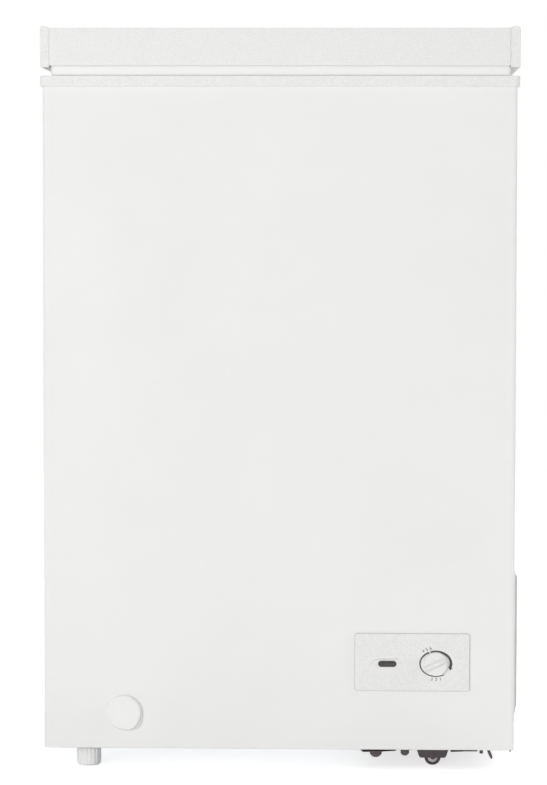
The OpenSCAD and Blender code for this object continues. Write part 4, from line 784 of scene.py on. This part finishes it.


# Outer drain cap with its finger lip, its washer and the stub that plugs the pipe, in mm. The
# washer's darker grey rim, shifted out at the lower right, is a painted shadow crescent beside the
# cap.
drain = {
    "face": {"radius": 19.7, "lip": 1.8, "lipAngle": -62, "shift": (0.2, -1.4),
             "thickness": 5.0, "edge": 2.4},
    "washer": {"radius": 20.0, "lip": 3.0, "lipAngle": -48, "shift": (1.9, -1.6),
               "thickness": 1.3, "edge": 0.6},
    "lipSpread": 26, "dish": 0.5, "dishTo": 0.85, "gap": 0.3, "columns": 144, "rows": 16,
    "stubColumns": 48,
    # radius and distance back from the wall
    "stub": [(9.7, -0.5), (9.7, 2.75), (9.991, 6), (9.409, 9.25), (8.73, 12.5)],
}
drainCentre = np.array([centreOf("drain_pipe")[0], centreOf("drain_cap")[2]])


def lippedDisc(shape):
    # a circle whose radius swells to a lip on one side, as a bell curve of the angle
    angles = np.linspace(0, 2 * np.pi, drain["columns"], endpoint=False)
    away = np.angle(np.exp(1j * (angles - math.radians(shape["lipAngle"]))))
    swell = np.exp(-(np.degrees(away) / drain["lipSpread"]) ** 2)
    ring = (shape["radius"] + shape["lip"] * swell)[:, None] * mm * circle(drain["columns"])
    step = np.roll(ring, -1, axis=0) - np.roll(ring, 1, axis=0)
    outward = np.stack([step[:, 1], -step[:, 0]], axis=1)
    outward /= np.linalg.norm(outward, axis=1, keepdims=True)
    middle = drainCentre + np.array(shape["shift"]) * mm

    def dish(x, z):
        # the face is very slightly hollow
        r = np.hypot(x - middle[0], z - middle[1]) / (shape["radius"] * mm)
        return drain["dish"] * mm * (1 - smoothStep(0, drain["dishTo"], r))

    return crownedPlate(ring + middle, outward, middle, frontY - drain["gap"] * mm,
                        shape["thickness"] * mm, shape["edge"] * mm, drain["rows"], dish)


def lathed(profile, centre, steps, ends=()):
    # a profile of radius and place along y in mm, turned about the axis through centre;
    # it closes on itself unless its ends are closed by faces
    rows = np.array(profile) * mm
    flat = rows[:, :1, None] * circle(steps) + centre[[0, 2]]
    faces = gridFaces(len(rows), steps, wrapRows=not ends, caps=ends)
    return onWall(flat, centre[1] + rows[:, 1:]), faces


# The washer's grey is painted shade: the crescent it shows at the cap's lower right stands in for
# the cap's shadow.
washerPaintedShade = textured("greyPvcWasherPaintedShade", "#e2e2e1", grain=1, height=0.04,
                     tones=("#dcdcdb", "#e8e8e7"), rough=(0.45, 0.55), patch=1.5, IOR=1.53)
newPiece("capWasherPaintedShadow", *lippedDisc(drain["washer"]), "smooth_plastic", "outer_drain_cap",
         material=washerPaintedShade)
stub = lathed(drain["stub"], onWall(drainCentre, frontY), drain["stubColumns"], (0, -1))
newPiece("drainCap", *joinGrids([lippedDisc(drain["face"]), stub]), "smooth_plastic",
         "outer_drain_cap", ["drain_cap"])
print("knob and drain cap ready")


# Levelling feet: fluted mouldings. Flutes are cut where the profile is widest.
foot = {"flutes": 18, "fluteDepth": 0.7, "fluteShape": 0.7, "fluteFade": (1, 4),
        "flutedPast": 13.4, "perFlute": 8,
        # radius and height of the profile in mm
        "profile": [(0, 0), (9, 0), (11.6, 0.3), (13, 1.4), (13.8, 3), (14, 5), (14, 19.4),
                    (13.6, 20.6), (12.6, 21.5), (6.4, 21.5), (4.3, 21.3), (4.3, 12)]}
radius, height = np.array(foot["profile"]).T[..., None]
angles = np.linspace(0, 2 * np.pi, foot["flutes"] * foot["perFlute"], endpoint=False)
# flutes are a rounded wave of the angle, fading out towards the foot's sole
wave = np.abs(np.cos(angles * foot["flutes"] / 2)) ** foot["fluteShape"]
strength = smoothStep(*foot["fluteFade"], height) * (radius > foot["flutedPast"])
r = (radius - foot["fluteDepth"] * strength * (1 - wave)) * mm
turned = np.dstack([r[..., None] * spokes(angles), np.broadcast_to(height * mm, r.shape)])
for place in ("front", "rear"):
    low, high = corners("foot_" + place)
    newPiece("levellingFoot" + place.capitalize(),
             turned + [*(low + high)[:2] / 2, low[2]],
             gridFaces(*r.shape), "foot_plastic", place + "_foot", ["foot_" + place], sharp=45)
print("feet ready")

# Rollers: a dark tread with rounded shoulders round a paler, thinner wheel. The axle
# lies front to back, so each profile gives a radius and a place along the axle in mm.
roller = {
    "columns": 48,
    "tread": [(6.0, -6.2), (8.3, -6.9), (9.1, -6.5), (9.5, -5.6), (9.42, -2.0), (9.42, 2.0),
              (9.5, 5.6), (9.1, 6.5), (8.3, 6.9), (6.0, 6.2)],
    "wheel": [(1.75, -6.9), (3.7, -6.9), (4.2, -6.5), (4.4, -5.9), (6.15, -5.7), (6.15, 5.7),
              (4.4, 5.9), (4.2, 6.5), (3.7, 6.9), (1.75, 6.9)],
}
wheelPolyamide = textured("greyPolyamide", "#dedad9", grain=1.2, height=0.04,
                          tones=("#d8d4d3", "#e4e0df"), rough=(0.4, 0.52), patch=8, IOR=1.53)
for place in ("front", "rear"):
    low, high = corners("roller_" + place)
    for part, material in (("tread", finishes["roller_plastic"]), ("wheel", wheelPolyamide)):
        profile = np.array(roller[part])
        profile[:, 1] *= (high[1] - low[1]) / mm / np.ptp(profile[:, 1])
        newPiece("roller" + place.capitalize() + part.capitalize(),
                 *lathed(profile, (low + high) / 2, roller["columns"]), "roller_plastic",
                 place + "_roller", ["roller_" + place], sharp=35, material=material)

# Roller brackets: two sheet cheeks with a small lug round the axle, under a top plate.
bracket = {"top": 20, "bottom": 15.2, "low": 9.0, "chamfer": 1.5, "flare": 0.4, "sheet": 1.6,
           "lug": 2.1, "lugFrom": -10, "lugTo": -170}
low, high = corners("roller_brackets")
plateUnder = high[2]
underMm, sheet, chamfer = plateUnder / mm, bracket["sheet"], bracket["chamfer"]
foldZ = bracket["low"] + chamfer
flared = bracket["bottom"] + bracket["flare"]
corner = bracket["bottom"] - chamfer
lugTurn = np.radians(np.linspace(bracket["lugFrom"], bracket["lugTo"], 9))
grids = []
for place, side in (("front", low[1]), ("rear", high[1])):
    axle = centreOf("roller_" + place)
    lug = bracket["lug"] * spokes(lugTurn) + [0, axle[2] / mm]
    cheek = [(-bracket["top"], underMm), (bracket["top"], underMm), (flared, foldZ),
             (corner, bracket["low"]), *lug, (-corner, bracket["low"]), (-flared, foldZ)]
    plate = [(-bracket["top"], underMm - sheet), (bracket["top"], underMm - sheet),
             (bracket["top"], underMm), (-bracket["top"], underMm)]
    cheek, plate = (np.array(outline) * mm + [axle[0], 0] for outline in (cheek, plate))
    reach = abs(axle[1] - side)
    inner = reach - sheet * mm
    grids += [pressed(cheek, axle[1] - reach, axle[1] - inner),
              pressed(cheek, axle[1] + inner, axle[1] + reach),
              pressed(plate, axle[1] - inner, axle[1] + inner)]
newPiece("rollerBrackets", *joinGrids(grids), "black_steel", "cabinet", ["roller_brackets"],
         sharp=30)

# Along the base plate's front edge: a turned-down lip at the left, a thinner one that
# tapers at the right, and a springy claw. x is measured from the front roller's axle.
plateEdge = {
    "thickness": 2.4,
    "outlines": [
        [(-81.4, 19.9), (-62, 20.2), (-44, 21.6), (-41.8, 22.3), (-41.8, 23), (-81.4, 23)],
        [(20, 20.6), (33, 21.2), (46.8, 22), (46.8, 23), (20, 23)],
        [(61.9, 23), (62.6, 20.2), (64.2, 16.6), (65.6, 14.2), (66.6, 12.9), (67.9, 13.3),
         (68.2, 15.2), (67.5, 17.8), (65.9, 21.4), (65.4, 23)],
    ],
}
plateFront = corners("compressor_base")[0][1]
grids = [pressed(np.array(outline) * mm + [centreOf("roller_front")[0], 0], plateFront,
                 plateFront + plateEdge["thickness"] * mm)
         for outline in plateEdge["outlines"]]
newPiece("plateEdge", *joinGrids(grids), "black_steel", "cabinet", sharp=30)

# The shell's lower edge is folded back into a hem, up to a gap before the back.
hem = {"radius": 1.1, "corner": 5, "lift": 0.1, "backGap": 2}
hemRadius = hem["radius"] * mm
halfDepth = (shellHigh.y - shellLow.y) / 2
ring, _ = roundedRectangle((shellHigh.x - shellLow.x) / 2 - hemRadius, halfDepth,
                           hem["corner"] * mm - hemRadius, steps=8)
front = ring[ring[:, 1] < 0] + [middleX, halfDepth + frontY + hemRadius]
backEnd = shellHigh.y - hem["backGap"] * mm
path = np.vstack([[(front[0, 0], backEnd)], front, [(front[-1, 0], backEnd)]])
path = np.column_stack([path, np.full(len(path), shellLow.z + hem["lift"] * mm)])
newPiece("shellHem", *wire(path, hemRadius, sides=10), "cabinet_paint", "cabinet",
         sharp=50)

# Screw heads: low domes with a cross-shaped recess, on the places of the solids' screws.
# Lengths are in mm; rings, recessTo, arm and reach are shares of the head's radius.
screw = {"columns": 24, "apart": 9, "shank": 1.6, "tall": 1.5, "under": 2, "tip": 0.2,
         "rings": [1, 1, 0.93, 0.78, 0.62, 0.5, 0.34, 0.2, 0], "flatness": 0.45,
         "recess": 0.9, "recessTo": 0.6, "arm": 0.17, "reach": 0.58, "overlap": 0.01}


def screwPlaces(node, across):
    # the node's points fall into groups across the screws' axis, one group per screw
    points = np.array([vertex.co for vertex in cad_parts[node].data.vertices])
    places = []
    while len(points):
        away = np.linalg.norm(points[:, across] - points[0, across], axis=1)
        near = away < screw["apart"] * mm
        places.append((points[near].min(axis=0), points[near].max(axis=0)))
        points = points[~near]
    return places


def screwMesh(low, high, axis, across):
    # rings from the shank's tip to the head's centre; the recess sinks the inner rings
    # where they lie along one of two crossed arms
    turn = circle(screw["columns"])
    seat = high[axis] - screw["under"] * mm
    shares = np.array(screw["rings"])[:, None]
    flat = shares[..., None] * turn
    nearer, farther = np.abs(flat).min(axis=-1), np.abs(flat).max(axis=-1)
    arm = (nearer < screw["arm"]) & (farther < screw["reach"])
    dome = screw["tall"] * mm * (1 - screw["flatness"] * shares ** 2) * np.ones_like(nearer)
    dome[0] = 0
    dome -= screw["recess"] * mm * arm * (shares < screw["recessTo"])
    tip = low[axis] + screw["tip"] * mm - seat
    shank = [np.column_stack([screw["shank"] * mm * turn, np.full(len(turn), height)])
             for height in (tip, -screw["overlap"] * mm)]
    head = flat * (high[across[0]] - low[across[0]]) / 2
    rows = np.vstack([shank, np.concatenate([head, dome[..., None]], axis=-1)])
    points = np.empty_like(rows)
    points[..., across] = ((low + high) / 2)[across] + rows[..., :2]
    points[..., axis] = seat + rows[..., 2]
    return points, gridFaces(*rows.shape[:2], caps=(0,))


for node, name, axis, body in (("side_grille_screws", "grilleScrews", 0, "cabinet"),
                               ("hinge_screws", "hingeScrews", 1, "cabinet"),
                               ("lid_screws", "lidScrews", 1, "lid")):
    across = [i for i in range(3) if i != axis]
    grids = [screwMesh(*place, axis, across) for place in screwPlaces(node, across)]
    newPiece(name, *joinGrids(grids), "zinc_plated", body, [node], sharp=35)
print("brackets, hem and screws ready")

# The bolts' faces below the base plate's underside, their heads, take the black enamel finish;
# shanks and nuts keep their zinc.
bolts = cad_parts["base_bolts"].data
bolts.materials.append(finishes["black_steel"])
heights = np.array([polygon.center.z for polygon in bolts.polygons])
isHead = heights < plateUnder + 0.3 * mm
bolts.polygons.foreach_set("material_index", isHead.astype(np.int32))


# Hinge springs: helices that stretch between cabinet and plunger, in mm and turns.
spring = {"turns": 11, "wire": 0.8, "perTurn": 20, "deadTurns": 0.8, "deadRise": 0.2}
for side in ("left", "right"):
    low, high = corners("hinge_spring_" + side)
    centre = (low + high) / 2
    wireRadius = spring["wire"] * mm
    radius = (high[0] - low[0]) / 2 - wireRadius
    t = np.linspace(0, 1, spring["turns"] * spring["perTurn"] + 1)
    dead = spring["deadTurns"] / spring["turns"]
    # the angle runs evenly; the height rests for most of the first and the last turn
    angle = 2 * np.pi * spring["turns"] * t
    rest = spring["deadRise"] * mm
    rise = high[2] - low[2] - 2 * wireRadius - rest
    height = low[2] + wireRadius + rest * t + rise * np.clip((t - dead) / (1 - 2 * dead), 0, 1)
    path = np.column_stack([centre[:2] + radius * spokes(angle), height])
    piece = newPiece("hingeSpring" + side.capitalize(), *wire(path, wireRadius),
                     "spring_steel", None, ["hinge_spring_" + side], sharp=60)
    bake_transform(piece)
print("springs ready")


# Wire basket: crossed wires under a thicker rim, with bars that lie on the ledges. Sizes
# are in mm; rim and wire are diameters.
basket = {"rim": 4.6, "wire": 2.8, "pitch": 27, "firstWire": 22, "bend": 14, "hook": 13.7,
          "bands": 3, "corner": 16, "barEnd": 9, "arms": 5, "firstArm": 6}
low, high = corners("basket")
rimRadius = basket["rim"] * mm / 2
wireRadius = basket["wire"] * mm / 2
centre = (low + high) / 2
half = (high - low) / 2 - np.array([0, basket["hook"], 0]) * mm
rimZ = high[2] - rimRadius
bottomZ = low[2] + wireRadius
inset = rimRadius * 2 + wireRadius


def crossWires(axis, outwards, lift):
    # U-shaped wires side by side along one axis, each in a plane square to it: down one
    # side, round a bend, along the bottom and up the other side
    span = half[1 - axis] - inset + outwards
    bend = basket["bend"] * mm
    turn = np.linspace(0, np.pi / 2, 8)
    left = np.stack([bend * (1 - np.cos(turn)) - span,
                     bottomZ + lift + bend * (1 - np.sin(turn))], axis=1)
    flat = np.vstack([[(-span, rimZ)], left, left[::-1] * [-1, 1], [(span, rimZ)]])
    path = np.empty((len(flat), 3))
    path[:, 1 - axis] = centre[1 - axis] + flat[:, 0]
    path[:, 2] = flat[:, 1]
    end = half[axis] - basket["firstWire"] * mm
    wires = []
    for place in np.linspace(-end, end, int(round(2 * end / (basket["pitch"] * mm))) + 1):
        path[:, axis] = centre[axis] + place
        wires.append(wire(path, wireRadius, np.eye(3)[axis]))
    return wires


def loopWire(inwards, z, radius, sides):
    # a wire closed round the basket's rounded outline at one height
    ring, _ = roundedRectangle(*(half[:2] - inwards), basket["corner"] * mm)
    loop = np.column_stack([ring + centre[:2], np.full(len(ring), z)])
    return wire(loop, radius, sides=sides, closed=True)


grids = crossWires(0, 0, 2 * wireRadius) + crossWires(1, 2 * wireRadius, 0)
grids.append(loopWire(rimRadius, rimZ, rimRadius, 12))
for level in np.linspace(0.25, 0.75, basket["bands"]):
    grids.append(loopWire(inset - np.array([4, 2]) * wireRadius,
                          bottomZ + (rimZ - bottomZ) * level, wireRadius, 8))
# bars that lie on the ledges, on short arms from the rim
for sign in (-1, 1):
    barY = centre[1] + sign * ((high[1] - low[1]) / 2 - wireRadius)
    rimY = centre[1] + sign * (half[1] - rimRadius)
    ends = np.array([low[0] + basket["barEnd"] * mm, high[0] - basket["barEnd"] * mm])
    bar = np.column_stack([np.linspace(*ends, 12), np.full(12, barY), np.full(12, rimZ)])
    grids.append(wire(bar, wireRadius))
    first = basket["firstArm"] * mm
    for x in np.linspace(ends[0] + first, ends[1] - first, basket["arms"]):
        arm = np.column_stack([np.full(4, x), np.linspace(rimY, barY, 4), np.full(4, rimZ)])
        grids.append(wire(arm, wireRadius))
newPiece("wireBasket", *joinGrids(grids), "coated_wire", "wire_basket", ["basket"], sharp=60)
print("basket ready")
